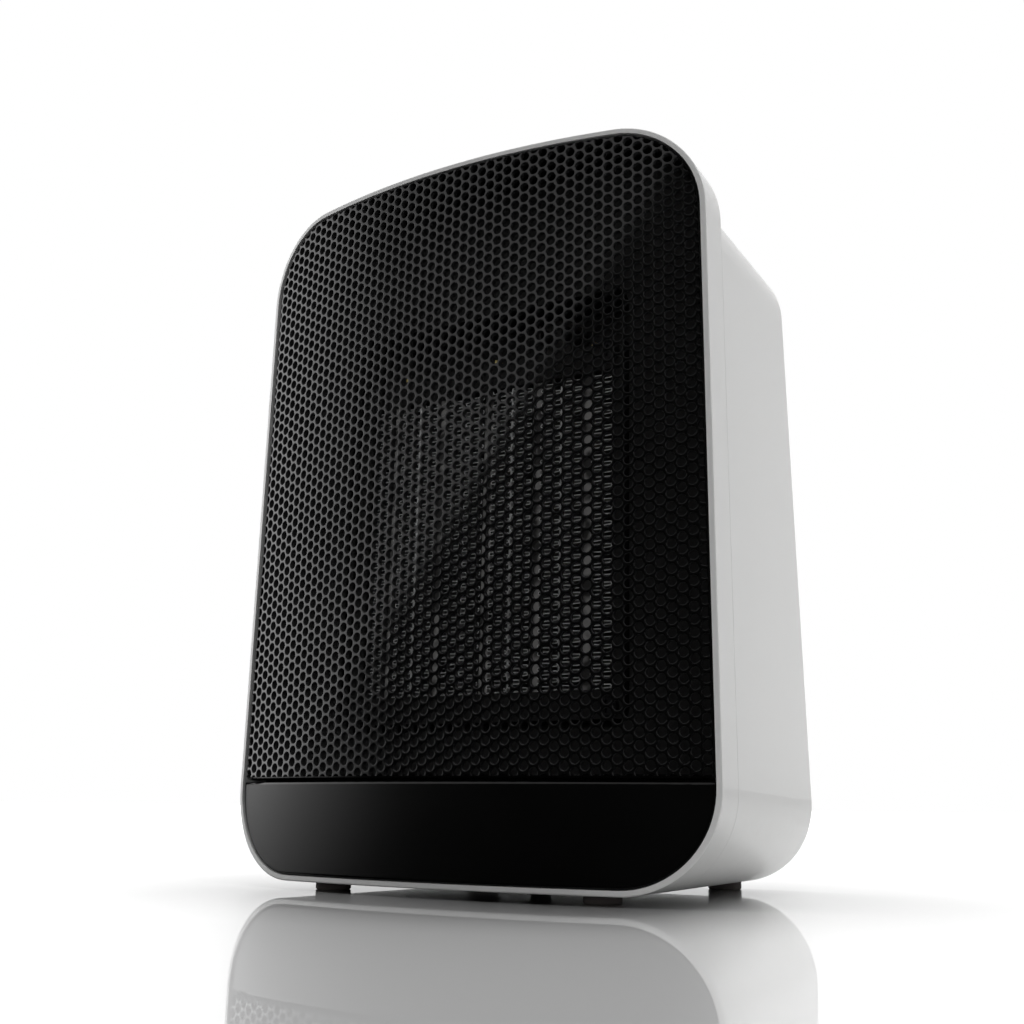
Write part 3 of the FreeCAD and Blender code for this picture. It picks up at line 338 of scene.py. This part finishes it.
# %% The unrolled outline
def flat(x):
    """Distance along the curved front that lies over the straight distance x."""
    return front_radius * math.asin(x / front_radius)


def outline(inset, corner_steps=9, top_steps=8):
    """Right-hand half of the unrolled outline, from the bottom up to the middle of the top."""
    low = grille_low.z + inset
    radius = top_corner - inset
    lean = math.atan(side_lean)
    arch_centre = grille_high.z - top_arch
    reach = top_arch - inset - radius
    base = flat(half_width) - inset / math.cos(lean)
    corner_x = base - radius / math.cos(lean)
    for _ in range(3):
        corner_z = arch_centre + math.sqrt(reach ** 2 - corner_x ** 2)
        corner_x = base - side_lean * (corner_z - grille_low.z) - radius / math.cos(lean)
    points = [(base - side_lean * (low - grille_low.z), low)]
    turn = math.atan2(corner_z - arch_centre, corner_x)
    for step in range(corner_steps + 1):
        angle = lean + (turn - lean) * step / corner_steps
        points.append((corner_x + radius * math.cos(angle), corner_z + radius * math.sin(angle)))
    last_x = points[-1][0]
    for step in range(1, top_steps + 1):
        x = last_x * (1 - step / top_steps)
        points.append((x, arch_centre + math.sqrt((top_arch - inset) ** 2 - x ** 2)))
    return points


def full_outline(inset):
    """The closed outline, anticlockwise seen from the front."""
    half = outline(inset)
    return half + [(-x, z) for x, z in reversed(half[:-1])]


# %% [markdown]
# One cell of the lattice is a hexagon with a round hole in its middle. Each hole starts
# with a gentle slope and a soft rim, as a moulding tool leaves it, and on the real front
# those rims catch the light. The cell is built from one ring of edges that is extruded
# and resized step by step: across the web, over the rim, down the wall and back out
# behind.

# %% One cell of the lattice
hole_pitch = 3.71 * MM
hole_radius = 1.50 * MM
rim_slope = 0.10 * MM              # width of the gentle slope round the hole
rim_drop = 0.03 * MM               # how deep that slope runs
rim_round = 0.09 * MM              # width and depth of the soft rim inside it
sheet_thickness = 1.6 * MM
column_pitch = hole_pitch * math.sqrt(3) / 2
cell_corner = hole_pitch / math.sqrt(3)
half_flat = math.cos(math.radians(30))     # a flat side's distance over a corner's


def is_flat_side(v):
    """True for the six loop points that lie between the hexagon's corners."""
    turn = math.degrees(math.atan2(v.co.z, v.co.x)) % 60
    return abs(turn - 30) < 5


def reshape(piece, radius_ratio, flat_ratio):
    """Scale the selected loop, then its six flat-side points once more."""
    bpy.ops.transform.resize(value=(radius_ratio, 1, radius_ratio), center_override=(0, 0, 0))
    loop = {v.index for v in bmesh.from_edit_mesh(piece.data).verts if v.select}
    pick(piece, "VERT", lambda v: v.index in loop and is_flat_side(v))
    bpy.ops.transform.resize(value=(flat_ratio, 1, flat_ratio), center_override=(0, 0, 0))
    pick(piece, "VERT", lambda v: v.index in loop)
    bpy.ops.mesh.select_mode(type="EDGE")


nothing()
bpy.ops.mesh.primitive_circle_add(vertices=12, radius=cell_corner, rotation=(math.radians(90), 0, 0))
sheet = named("front_grille_sheet")
bpy.ops.object.transform_apply(location=True, rotation=True, scale=True)
edit(sheet)
bpy.ops.mesh.select_all(action="SELECT")
reshape(sheet, 1, half_flat)
rim_radius = hole_radius + rim_round
slope_radius = rim_radius + rim_slope
loops = [
    (slope_radius / cell_corner, 1 / half_flat, 0.0),           # front web
    (rim_radius / slope_radius, 1, rim_drop),                   # gentle slope
    (hole_radius / rim_radius, 1, rim_round),                   # soft rim
    (1, 1, sheet_thickness - rim_drop - rim_round),             # wall of the hole
    (cell_corner / hole_radius, half_flat, 0.0),                # back web
]
for radius_ratio, flat_ratio, deeper in loops:
    bpy.ops.mesh.extrude_edges_move(TRANSFORM_OT_translate={"value": (0, deeper, 0)})
    reshape(sheet, radius_ratio, flat_ratio)
bpy.ops.mesh.select_all(action="SELECT")
bpy.ops.mesh.normals_make_consistent(inside=False)
print("cell faces", len(bmesh.from_edit_mesh(sheet.data).faces))

# %% The lattice: two neighbouring columns, repeated up and across
low_row_up = 3.6 * MM              # middle of the lowest whole row over the lower edge
first_row_z = grille_low.z + low_row_up - hole_pitch
rows = math.ceil((grille_high.z - first_row_z) / hole_pitch) + 1
half_columns = math.ceil(flat(half_width) / column_pitch / 2) + 1
bpy.ops.mesh.select_all(action="SELECT")
bpy.ops.transform.translate(value=(-2 * half_columns * column_pitch, 0, first_row_z))
bpy.ops.mesh.duplicate_move(
    TRANSFORM_OT_translate={"value": (column_pitch, 0, -hole_pitch / 2)})
with_modifier(sheet, "ARRAY", count=rows, use_relative_offset=False,
              use_constant_offset=True, constant_offset_displace=(0, 0, hole_pitch))
with_modifier(sheet, "ARRAY", count=2 * half_columns, use_relative_offset=False,
              use_constant_offset=True, constant_offset_displace=(2 * column_pitch, 0, 0))


def cell_centre(x, z):
    """Middle of the lattice cell that holds the point."""
    nearest = []
    column = round(x / column_pitch)
    for k in (column - 1, column, column + 1):
        base = first_row_z - (hole_pitch / 2 if k % 2 else 0.0)
        row = round((z - base) / hole_pitch)
        nearest.append((k * column_pitch, base + row * hole_pitch))
    return min(nearest, key=lambda c: math.hypot(c[0] - x, c[1] - z))


def outline_sides(inset):
    """The outline's sides, each as a point on it and its outward direction."""
    points = full_outline(inset)
    sides = []
    for (x0, z0), (x1, z1) in zip(points, points[1:] + points[:1]):
        length = math.hypot(x1 - x0, z1 - z0)
        sides.append((x0, z0, (z1 - z0) / length, -(x1 - x0) / length))
    return sides


weld = 0.002 * MM                  # points closer than this are the same point
cut_slack = 0.0005 * MM            # points this close to a cut lie on it
sheet_inset = 0.75 * MM            # the sheet ends this far inside the front's outline
sheet_edge_step = 0.35 * MM        # the sheet's edge stands this far out of the rim
sides = outline_sides(sheet_inset)


def depth_inside(face):
    """How far the face's whole cell lies inside the outline: least distance to a side."""
    middle = face.calc_center_median()
    x, z = cell_centre(middle.x, middle.z)
    return min((sx - x) * nx + (sz - z) * nz for sx, sz, nx, nz in sides)


# %% Drop the cells outside, and cut the ones on the edge
edit(sheet)
pick(sheet, "FACE", lambda f: depth_inside(f) < -cell_corner)
bpy.ops.mesh.delete(type="FACE")
bpy.ops.mesh.select_all(action="SELECT")
bpy.ops.mesh.remove_doubles(threshold=weld)
pick(sheet, "FACE", lambda f: depth_inside(f) < 2 * cell_corner)
bpy.ops.mesh.separate(type="SELECTED")
nothing()
edge_strip = [o for o in bpy.data.objects if o.name.startswith("front_grille_sheet.")][0]
edit(edge_strip)
for x, z, nx, nz in sides:
    bpy.ops.mesh.select_all(action="SELECT")
    bpy.ops.mesh.bisect(plane_co=(x, 0, z), plane_no=(nx, 0, nz), use_fill=True, clear_outer=True,
                        threshold=cut_slack)
nothing()
sheet.select_set(True)
edge_strip.select_set(True)
bpy.context.view_layer.objects.active = sheet
bpy.ops.object.join()
edit(sheet)
bpy.ops.mesh.select_all(action="SELECT")
bpy.ops.mesh.remove_doubles(threshold=weld)
open_edges(sheet)
bpy.ops.mesh.fill_holes(sides=0)
open_edges(sheet)


# %% [markdown]
# Flat, the sheet is as wide as the front measured along its curve, so a bend by its
# width over the front's radius gives it the true curve. It is then cut at mid height,
# which keeps each half a light piece. The walls of the holes get a matt black: on the
# real moulding the polish is on the face, and the holes swallow the light.

# %% Bend the sheet to the front's curve and halve it
def is_hole_wall(face):
    """True for faces that run straight in from the curved front."""
    x = face.calc_center_median().x
    outward = Vector((x, -math.sqrt(front_radius ** 2 - x ** 2), 0)).normalized()
    return abs(face.normal.dot(outward)) < 0.3


nothing()
with_modifier(sheet, "SIMPLE_DEFORM", deform_method="BEND", deform_axis="Z",
              angle=sheet.dimensions.x / front_radius)
sheet.location = (0, crown_y, 0)
split_z = (grille_low.z + grille_high.z) / 2
only(sheet)
bpy.ops.object.duplicate()
upper_sheet = named("front_grille_upper")
sheet.name = "front_grille_lower"
for half, is_upper in ((sheet, False), (upper_sheet, True)):
    edit(half)
    bpy.ops.mesh.select_all(action="SELECT")
    bpy.ops.mesh.bisect(plane_co=(0, 0, split_z), plane_no=(0, 0, 1), use_fill=True,
                        clear_outer=not is_upper, clear_inner=is_upper, threshold=cut_slack)
    nothing()
    finished(half, "case", black_gloss, smooth=16)
    second_finish(half, black_matt, is_hole_wall)
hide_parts("front_grille")

# %% [markdown]
# The sheet's edge is carried by a rim, a narrow shoulder that rolls back into the frame
# and runs on as a skirt. It starts as a flat plate cut to the same outline, so the two
# match, and insets give it even rings to shape the shoulder with.

# %% The rim's shoulder
plate_size = 2.4 * grille_high.z   # a plate that is larger than the outline
rim_margin = 0.25 * MM             # the shoulder starts outside the outline
bottom_cuts = 31                   # points along the lower edge, so that it can bend
nothing()
bpy.ops.mesh.primitive_plane_add(size=plate_size, rotation=(math.radians(90), 0, 0))
rim = named("front_grille_rim")
bpy.ops.object.transform_apply(location=True, rotation=True, scale=True)
edit(rim)
for x, z, nx, nz in outline_sides(-rim_margin):
    bpy.ops.mesh.select_all(action="SELECT")
    bpy.ops.mesh.bisect(plane_co=(x, 0, z), plane_no=(nx, 0, nz), clear_outer=True,
                        threshold=cut_slack)
pick(rim, "EDGE", lambda e: centre(e).z < grille_low.z)
bpy.ops.mesh.subdivide(number_cuts=bottom_cuts)
shoulder = [(0.1, -1.0), (0.25, -0.9), (0.3, -0.5), (0.3, -0.15)]   # inset and rise in mm
bpy.ops.mesh.select_mode(type="FACE")
bpy.ops.mesh.select_all(action="SELECT")
for step, rise in shoulder:
    bpy.ops.mesh.inset(thickness=step * MM, depth=0)
    bpy.ops.transform.translate(value=(0, rise * MM, 0))
bpy.ops.mesh.delete(type="FACE")
front_rise = min(v.co.y for v in bmesh.from_edit_mesh(rim.data).verts)
bpy.ops.mesh.select_all(action="SELECT")
bpy.ops.transform.translate(value=(0, sheet_edge_step - front_rise, 0))
print("shoulder rises", round(-front_rise / MM, 2), "mm")

# %% [markdown]
# The plate's middle is gone now and only the rings are left. Their outer edge is pulled
# back a step and, once the rim is bent like the sheet, back to the flat plane where the
# grille ends, which makes the skirt. Solidify then gives the whole rim its thickness.

# %% The rim's skirt
skirt_step = 0.5 * MM
rim_thickness = 1.0 * MM
pick(rim, "VERT", lambda v: v.co.y > sheet_edge_step - front_rise - 0.001 * MM)
skirt_start = sheet_edge_step - front_rise + skirt_step
bpy.ops.mesh.select_mode(type="EDGE")
bpy.ops.mesh.extrude_edges_move(TRANSFORM_OT_translate={"value": (0, skirt_step, 0)})
nothing()
with_modifier(rim, "SIMPLE_DEFORM", deform_method="BEND", deform_axis="Z",
              angle=rim.dimensions.x / front_radius)
edit(rim)
bend_out = front_radius - skirt_start
pick(rim, "VERT", lambda v: abs(math.hypot(v.co.x, v.co.y - front_radius) - bend_out) < 0.01 * MM)
bpy.ops.mesh.select_mode(type="EDGE")
bpy.ops.mesh.extrude_edges_move()
bpy.ops.transform.resize(value=(1, 0, 1), center_override=(0, back_y - crown_y, 0))
bpy.ops.mesh.select_all(action="SELECT")
bpy.ops.mesh.normals_make_consistent(inside=False)
nothing()
rim.location = (0, crown_y, 0)
with_modifier(rim, "SOLIDIFY", thickness=rim_thickness, offset=-1)
finished(rim, "case", black_gloss, smooth=50)

# %% [markdown]
# ## The fins of the heating element
# Each heating bar sits between two strips of aluminium ribbon, folded to and fro about
# 80 times so that the air sweeps a large surface. The folds run from front to back, so
# only the ribbon's edges show, as fine level lines. A strip could be drawn as one long
# zigzag; here one wave is drawn, an array repeats it up the strip, and a bevel rounds
# the folds. The module's sizes are worked out from the boxes of the CAD pieces.

# %% Measure the CAD strips
fins_low, fins_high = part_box("fin_strips")
plates_low, plates_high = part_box("separator_plates")
bars_low, bars_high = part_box("ptc_bars")
module_count = 5
plate_thickness = ((plates_high.x - plates_low.x) - (fins_high.x - fins_low.x)) / 2
module_pitch = (plates_high.x - plates_low.x - plate_thickness) / module_count
bar_width = (bars_high.x - bars_low.x) - (module_count - 1) * module_pitch
fin_width = (module_pitch - plate_thickness - bar_width) / 2
fin_depth = fins_high.y - fins_low.y
fin_rise = fins_high.z - fins_low.z
ribbon = 0.30 * MM                 # its thickness
waves = 42                         # each wave is two leaves
wave_pitch = fin_rise / waves
leaf_reach = fin_width - ribbon
leaf_slant = 0.12 * wave_pitch     # the leaves lie nearly level
crest = wave_pitch / 2 - leaf_slant        # the upright stretch from leaf to leaf
fold_round = 0.3 * MM
print("wave", round(wave_pitch / MM, 2), "mm, strip", round(fin_width / MM, 2), "mm wide")

# %% Fold one wave and repeat it up the strip
nothing()
bpy.ops.mesh.primitive_plane_add(size=1)
fins = named("fin_strips_fine")
fins.scale = (leaf_reach, fin_depth, 1)
fins.location = (leaf_reach / 2, fin_depth / 2, 0)
bpy.ops.object.transform_apply(location=True, rotation=True, scale=True)
edit(fins)
pick(fins, "EDGE", lambda e: centre(e).x > leaf_reach - 0.01 * MM)
bpy.ops.transform.translate(value=(0, 0, leaf_slant))
for step in ((0, 0, crest), (-leaf_reach, 0, leaf_slant), (0, 0, crest)):
    bpy.ops.mesh.extrude_edges_move(TRANSFORM_OT_translate={"value": step})
with_modifier(fins, "ARRAY", count=waves, use_relative_offset=False, use_constant_offset=True,
              constant_offset_displace=(0, 0, wave_pitch), use_merge_vertices=True,
              merge_threshold=0.01 * MM)
edit(fins)
pick(fins, "EDGE", lambda e: len(e.link_faces) == 2)
bpy.ops.mesh.bevel(offset=fold_round, segments=2)
bpy.ops.mesh.select_all(action="SELECT")
bpy.ops.mesh.normals_make_consistent(inside=False)
with_modifier(fins, "SOLIDIFY", thickness=ribbon, offset=0)

# %% [markdown]
# One module has a strip each side of its bar, and five modules stand side by side. The ribbon is
# aluminium, but its leaves get a dark grey metal, which is painted shade for the dark between the folds.
# Its cut front faces get a pale matt white of their own, which is a painted highlight on the edges that
# catch the light.

# %% Pair the strips and repeat the module
edit(fins)
bpy.ops.mesh.select_all(action="SELECT")
bpy.ops.transform.translate(value=(plate_thickness / 2 + ribbon / 2, 0, 0))
bpy.ops.mesh.duplicate_move(
    TRANSFORM_OT_translate={"value": (module_pitch - fin_width - plate_thickness, 0, 0)})
with_modifier(fins, "ARRAY", count=module_count, use_relative_offset=False,
              use_constant_offset=True, constant_offset_displace=(module_pitch, 0, 0))
fins.location = (-module_count * module_pitch / 2, fins_low.y, fins_low.z)
# Painted shade on the leaves and a painted highlight on the front faces, in place of the aluminium's own
# colour.
finished(fins, "case", painted_shade_leaf, smooth=50)
second_finish(fins, painted_highlight_edge, lambda f: f.normal.y < -0.9)
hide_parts("fin_strips")
fine_low, fine_high = fins.bound_box[0], fins.bound_box[6]
print("fins", [round(v / MM, 2) for v in (*fine_low, *fine_high)],
      "CAD", [round(v / MM, 2) for v in (*fins_low, *fins_high)])

# %% [markdown]
# ## The marks round the knobs
# Figures and ticks are printed on the control panel, and a white strip is let into each
# knob's finger bar to point at them. A print could be a texture; as thin meshes the marks
# stay sharp in every view. Both knobs turn clockwise from the rear: the mode knob has four
# places, the thermostat seven, 45 degrees apart, so one loop lays out both dials.

# %% Figures and ticks on the control panel
panel_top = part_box("control_panel")[1].z
place_angle = 45                   # degrees from one place to the next
tick_gap = 1.4 * MM                # from the knob's edge to the tick's middle
tick_size = (0.5 * MM, 1.4 * MM, 0.08 * MM)
figure_gap = 4.4 * MM              # from the knob's edge to the figure's middle
figure_size = 4.2 * MM
figure_depth = 0.04 * MM
added_marks = []


def mark_added():
    """Make the new figure or tick a plain mesh and keep it for joining."""
    if bpy.context.active_object.type != "MESH":
        bpy.ops.object.convert(target="MESH")
    added_marks.append(bpy.context.active_object)
    nothing()


def dial(knob, labels):
    """Print one figure and one tick at each place of a knob."""
    low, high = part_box(knob)
    middle = (low + high) / 2
    radius = (high.x - low.x) / 2
    for place, label in enumerate(labels):
        turn = math.radians(place_angle * place)
        outward = Vector((math.sin(turn), math.cos(turn), 0))
        tick = middle + outward * (radius + tick_gap)
        tick.z = panel_top
        bpy.ops.mesh.primitive_cube_add(size=1, location=tick, rotation=(0, 0, -turn),
                                        scale=tick_size)
        mark_added()
        spot = middle + outward * (radius + figure_gap)
        spot.z = panel_top
        bpy.ops.object.text_add(location=spot)
        text = bpy.context.active_object.data
        text.body = label
        text.size = figure_size
        text.extrude = figure_depth
        text.align_x = "CENTER"
        text.align_y = "CENTER"
        text.resolution_u = 4
        mark_added()


dial("mode_knob", "0123")
dial("thermostat_knob", "0123456")
for mark in added_marks:
    mark.select_set(True)
bpy.context.view_layer.objects.active = added_marks[0]
bpy.ops.object.join()
marks = named("panel_marks")
finished(marks, "case", print_white)

# %% A pointer in each finger bar
pointer_round = 0.55 * MM          # radius of its rounded ends
pointer_size = (1.2 * MM, 8.0 * MM, 0.3 * MM)
pointer_back = 6.2 * MM            # from the knob's rear edge to the pointer's middle
pointer_sunk = 0.05 * MM           # its middle lies this far under the bar's top
for knob, body in (("mode_knob", "mode_control"), ("thermostat_knob", "heat_control")):
    low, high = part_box(knob)
    nothing()
    middle_x = (low.x + high.x) / 2
    bpy.ops.mesh.primitive_cube_add(
        size=1, location=(middle_x, high.y - pointer_back, high.z - pointer_sunk), scale=pointer_size)
    pointer = named(knob + "_pointer")
    bpy.ops.object.transform_apply(location=True, rotation=True, scale=True)
    edit(pointer)
    pick(pointer, "EDGE", lambda e: abs(e.verts[0].co.z - e.verts[1].co.z) > 0.1 * MM)
    bpy.ops.mesh.bevel(offset=pointer_round, segments=4)
    finished(pointer, body, print_white)

# %% [markdown]
# ## Camera
# The heater is seen from just above the floor, from in front and a little to the right,
# looking slightly up, so it stands tall and its right side shows. The view's direction
# comes from three angles. The lens is shifted as well, which slides the picture without
# changing its perspective.

# %% Camera
yaw = math.radians(30.73)
pitch = math.radians(13.54)
roll = math.radians(0.65)
ahead = Vector((-math.sin(yaw) * math.cos(pitch), math.cos(yaw) * math.cos(pitch), math.sin(pitch)))
level_right = Vector((math.cos(yaw), math.sin(yaw), 0.0))
level_up = level_right.cross(ahead)
right = math.cos(roll) * level_right + math.sin(roll) * level_up
up = -math.sin(roll) * level_right + math.cos(roll) * level_up
camera_data = bpy.data.cameras.new("camera")
camera_data.sensor_width = 36.0
camera_data.lens = 44.49
camera_data.shift_x = -0.0489
camera_data.shift_y = -0.0089
camera_data.clip_start = 0.01
camera_data.clip_end = 50.0
camera = bpy.data.objects.new("camera", camera_data)
pose = Matrix((right, up, -ahead)).transposed().to_4x4()
pose.translation = Vector((0.23207, -0.37071, 0.02652))
camera.matrix_world = pose
bpy.context.scene.collection.objects.link(camera)
bpy.context.scene.camera = camera
bpy.context.scene.view_settings.view_transform = "Standard"
print("camera is", round(pose.translation.length / MM), "mm from the heater's foot")

# %% [markdown]
# ## The room
# A product like this is shot against pure white. But a white room, mirrored whole, would
# turn the black gloss grey, so studios put a dark flag in front. Here it is a dark wall
# whose upper edge slants: the front mirrors white above that edge and almost nothing
# below it, which draws the slanting line across the grille. Mirrored rays alone see the
# wall and a bright window on the left. Matt surfaces get a little light from all sides,
# and the lamps do the rest.


# %% Sums on node outputs
def maths(tree, operation, first, second, clamp=False):
    """A Math node on two values, each a number or another node's output."""
    node = tree.nodes.new("ShaderNodeMath")
    node.operation = operation
    node.use_clamp = clamp
    for socket, value in zip(node.inputs, (first, second)):
        if isinstance(value, (int, float)):
            socket.default_value = value
        else:
            tree.links.new(value, socket)
    return node.outputs[0]


def times(tree, first, second):
    """The product of two values."""
    return maths(tree, "MULTIPLY", first, second)


def rest_of(tree, value):
    """What is left of 1 once the value is taken off."""
    return maths(tree, "SUBTRACT", 1.0, value)


def rise(tree, value, start, slope):
    """0 up to the start, then growing at the given slope, up to 1."""
    return maths(tree, "MULTIPLY", maths(tree, "ADD", value, -start), slope, True)


def facing(tree, direction, axis):
    """How far a direction points along an axis."""
    node = tree.nodes.new("ShaderNodeVectorMath")
    node.operation = "DOT_PRODUCT"
    tree.links.new(direction, node.inputs[0])
    node.inputs[1].default_value = axis
    return node.outputs["Value"]


# %% The dark wall
world = bpy.data.worlds.new("studio")
bpy.context.scene.world = world
world.use_nodes = True
tree = world.node_tree
background = tree.nodes["Background"]
background.inputs["Color"].default_value = (1, 1, 1, 1)
rays = tree.nodes.new("ShaderNodeLightPath")
direction = tree.nodes.new("ShaderNodeTexCoord").outputs["Generated"]
wall_axis = (-0.3727, 0.1148, 0.9208)      # square to the slanting upper edge
wall_edge = 0.3148                 # how far along that axis the edge lies
wall_soft = 0.02                   # width of the edge's blur
wall_darkness = 0.98
above_edge = facing(tree, direction, wall_axis)
under_edge = maths(tree, "DIVIDE", maths(tree, "SUBTRACT", wall_edge + wall_soft / 2, above_edge),
                   wall_soft, True)
in_front = rise(tree, facing(tree, direction, (0, -1, 0)), 0.1, 5.0)
not_sharp = rest_of(tree, rays.outputs["Is Singular Ray"])      # the floor's mirror is sharp
wall = times(tree, times(tree, under_edge, in_front), not_sharp)
print("the wall's edge slants by", round(math.degrees(math.atan2(-wall_axis[0], wall_axis[2]))), "degrees")

# %% The window and the light from all sides
fill_level = 0.06                  # light that matt surfaces get from all sides
window_glow = 2.0                  # how much brighter reflections are from the left
glossy_rays = rays.outputs["Is Glossy Ray"]
seen = maths(tree, "MAXIMUM", rays.outputs["Is Camera Ray"], rays.outputs["Is Transmission Ray"])
reflected = times(tree, glossy_rays, rest_of(tree, times(tree, wall, wall_darkness)))
matt_rays = rest_of(tree, maths(tree, "MAXIMUM", seen, glossy_rays))
filled = times(tree, matt_rays, fill_level)
on_the_left = rise(tree, facing(tree, direction, (-1, 0, 0)), 0.7, 4.0)
window = times(tree, times(tree, on_the_left, window_glow), times(tree, glossy_rays, not_sharp))
surround = maths(tree, "ADD", maths(tree, "ADD", seen, reflected, True), filled)
tree.links.new(maths(tree, "ADD", surround, window), background.inputs["Strength"])
print("the room's shader has", len(tree.nodes), "nodes")


# %% [markdown]
# ## Lamps
# Four large soft boxes light the white case evenly. The lamps aren't mirrored, or their
# shapes would show on the black front as hard rectangles. A box's strength is given as
# the light it throws on its target, so it can be moved without being set again.

# %% Soft boxes
def softbox(name, place, target, width, height, strength):
    """Rectangular lamp, seen by no mirror; strength is the light it throws on its target."""
    data = bpy.data.lights.new(name, "AREA")
    data.shape = "RECTANGLE"
    data.size = width
    data.size_y = height
    lamp = bpy.data.objects.new(name, data)
    aim = Vector(target) - Vector(place)
    data.energy = strength * math.pi * math.pi * aim.length_squared
    lamp.location = place
    lamp.rotation_euler = aim.to_track_quat("-Z", "Y").to_euler()
    lamp.visible_glossy = False
    bpy.context.scene.collection.objects.link(lamp)
    print(name, round(data.energy, 1), "W")


middle = (0, 0, 0.12)              # half-way up the heater
softbox("left_box", (-1.5, 0.05, 0.45), middle, 0.8, 1.2, 0.62)
softbox("right_box", (1.5, 0.45, 0.45), middle, 0.8, 1.2, 0.08)
softbox("top_box", (0, 0.25, 1.6), (0, 0, 0.0), 1.6, 1.6, 0.95)
softbox("front_box", (0.15, -1.5, 0.35), middle, 0.9, 0.9, 0.22)

# %% [markdown]
# ## Floor
# The heater stands on polished white acrylic. The camera sees the floor white, with the
# heater's soft shadow round its base and, at a low angle, its mirror image. What the
# floor throws back on the heater is set apart from how it looks: little in front, so
# that the lip round the black stays crisp, and more on the right, so that the side is
# evenly lit down to its rounded edge.

# %% What the floor throws back
nothing()
bpy.ops.mesh.primitive_plane_add(size=60, location=(0, 0, 0))
floor = named("floor")
floor_material = bpy.data.materials.new("floor")
floor_material.use_nodes = True
tree = floor_material.node_tree
tree.nodes.remove(tree.nodes["Principled BSDF"])
rays = tree.nodes.new("ShaderNodeLightPath")
spot = tree.nodes.new("ShaderNodeTexCoord").outputs["Object"]
toward = tree.nodes.new("ShaderNodeVectorMath")
toward.operation = "NORMALIZE"
tree.links.new(spot, toward.inputs[0])
from_heater = toward.outputs["Vector"]
floor_lighting = 0.56              # thrown back at the rear and on the left
right_lighting = 0.50              # how much more is thrown back on the right
front_darkness = 0.93              # the share that is kept back in front
lean = math.radians(15)            # the dark part in front is turned to the left
front_axis = (-math.sin(lean), -math.cos(lean), 0)
front_floor = rise(tree, facing(tree, from_heater, front_axis), 0.1, 2.0)
right_floor = rise(tree, facing(tree, from_heater, (1, 0, 0)), 0.3, 2.0)
lit_floor = maths(tree, "ADD", floor_lighting, times(tree, right_floor, right_lighting))
lit_floor = times(tree, lit_floor, rest_of(tree, times(tree, front_floor, front_darkness)))
thrown = times(tree, rays.outputs["Is Diffuse Ray"], lit_floor)
print("the floor throws back up to", floor_lighting + right_lighting)

# %% [markdown]
# The shadow comes from ambient occlusion, so it lies close round the base from every
# side. In the heater's own gloss the floor is white behind and dark in front, as the
# dark wall would make it.

# %% What the floor shows
floor_seen = 0.97                  # the floor's own colour
contact_reach = 0.09               # how far from the base its shadow reaches, in metres
contact_power = 2.5                # a higher power makes the shadow deeper
gloss_level = 0.9                  # the floor's brightness in the heater's gloss
turn = math.radians(26)            # the dark part in the gloss is turned to the right
dark_axis = (math.sin(turn), -math.cos(turn), 0)
dark_floor = rise(tree, facing(tree, from_heater, dark_axis), -0.1, 2.0)
mirrored = times(tree, rays.outputs["Is Glossy Ray"], rest_of(tree, rays.outputs["Is Singular Ray"]))
in_gloss = times(tree, mirrored, maths(tree, "SUBTRACT", gloss_level, dark_floor, True))
contact = tree.nodes.new("ShaderNodeAmbientOcclusion")
contact.samples = 16
contact.inputs["Distance"].default_value = contact_reach
open_floor = maths(tree, "POWER", contact.outputs["AO"], contact_power)
shown = times(tree, times(tree, rays.outputs["Is Camera Ray"], floor_seen), open_floor)
shade = maths(tree, "MAXIMUM", maths(tree, "MAXIMUM", shown, thrown), in_gloss)
print("the shadow reaches", round(contact_reach / MM), "mm")

# %% [markdown]
# Polished acrylic mirrors more at a grazing angle. Two mirrors are added to the matt
# floor, a sharp one and a blurred one, and both fade in as the view gets lower. The matt
# share gives way to them. Far out, the floor glows like the room, so no horizon shows.

# %% The floor's mirror and its far end
polish_start = 0.45                # where the mirror begins, on the grazing scale
polish_full = 0.78
matt_loss = 0.66                   # what the matt share gives up at a grazing angle
near_end = 0.35                    # metres from the heater where the glow begins
far_end = 2.0
graze = tree.nodes.new("ShaderNodeLayerWeight")
graze.inputs["Blend"].default_value = 0.5
share = tree.nodes.new("ShaderNodeMapRange")
share.inputs["From Min"].default_value = polish_start
share.inputs["From Max"].default_value = polish_full
share.interpolation_type = "SMOOTHSTEP"
tree.links.new(graze.outputs["Facing"], share.inputs["Value"])
polish = times(tree, share.outputs["Result"], rays.outputs["Is Camera Ray"])
less_matt = rest_of(tree, times(tree, polish, matt_loss))
surface = tree.nodes.new("ShaderNodeBsdfDiffuse")
tree.links.new(times(tree, shade, less_matt), surface.inputs["Color"])
far = tree.nodes.new("ShaderNodeVectorMath")
far.operation = "LENGTH"
tree.links.new(spot, far.inputs[0])
backdrop = tree.nodes.new("ShaderNodeMapRange")
backdrop.inputs["From Min"].default_value = near_end
backdrop.inputs["From Max"].default_value = far_end
backdrop.interpolation_type = "SMOOTHSTEP"
tree.links.new(far.outputs["Value"], backdrop.inputs["Value"])
glow = tree.nodes.new("ShaderNodeEmission")
tree.links.new(times(tree, backdrop.outputs["Result"], rays.outputs["Is Camera Ray"]),
               glow.inputs["Strength"])
layers = []
for roughness, strength in ((0.0, 0.52), (0.38, 0.28)):
    mirror = tree.nodes.new("ShaderNodeBsdfGlossy")
    mirror.inputs["Roughness"].default_value = roughness
    tree.links.new(times(tree, polish, strength), mirror.inputs["Color"])
    layers.append(mirror)
for layer in (*layers, glow):
    both = tree.nodes.new("ShaderNodeAddShader")
    tree.links.new(surface.outputs[0], both.inputs[0])
    tree.links.new(layer.outputs[0], both.inputs[1])
    surface = both
tree.links.new(surface.outputs[0], tree.nodes["Material Output"].inputs["Surface"])
floor.data.materials.append(floor_material)
print("the floor's shader has", len(tree.nodes), "nodes")
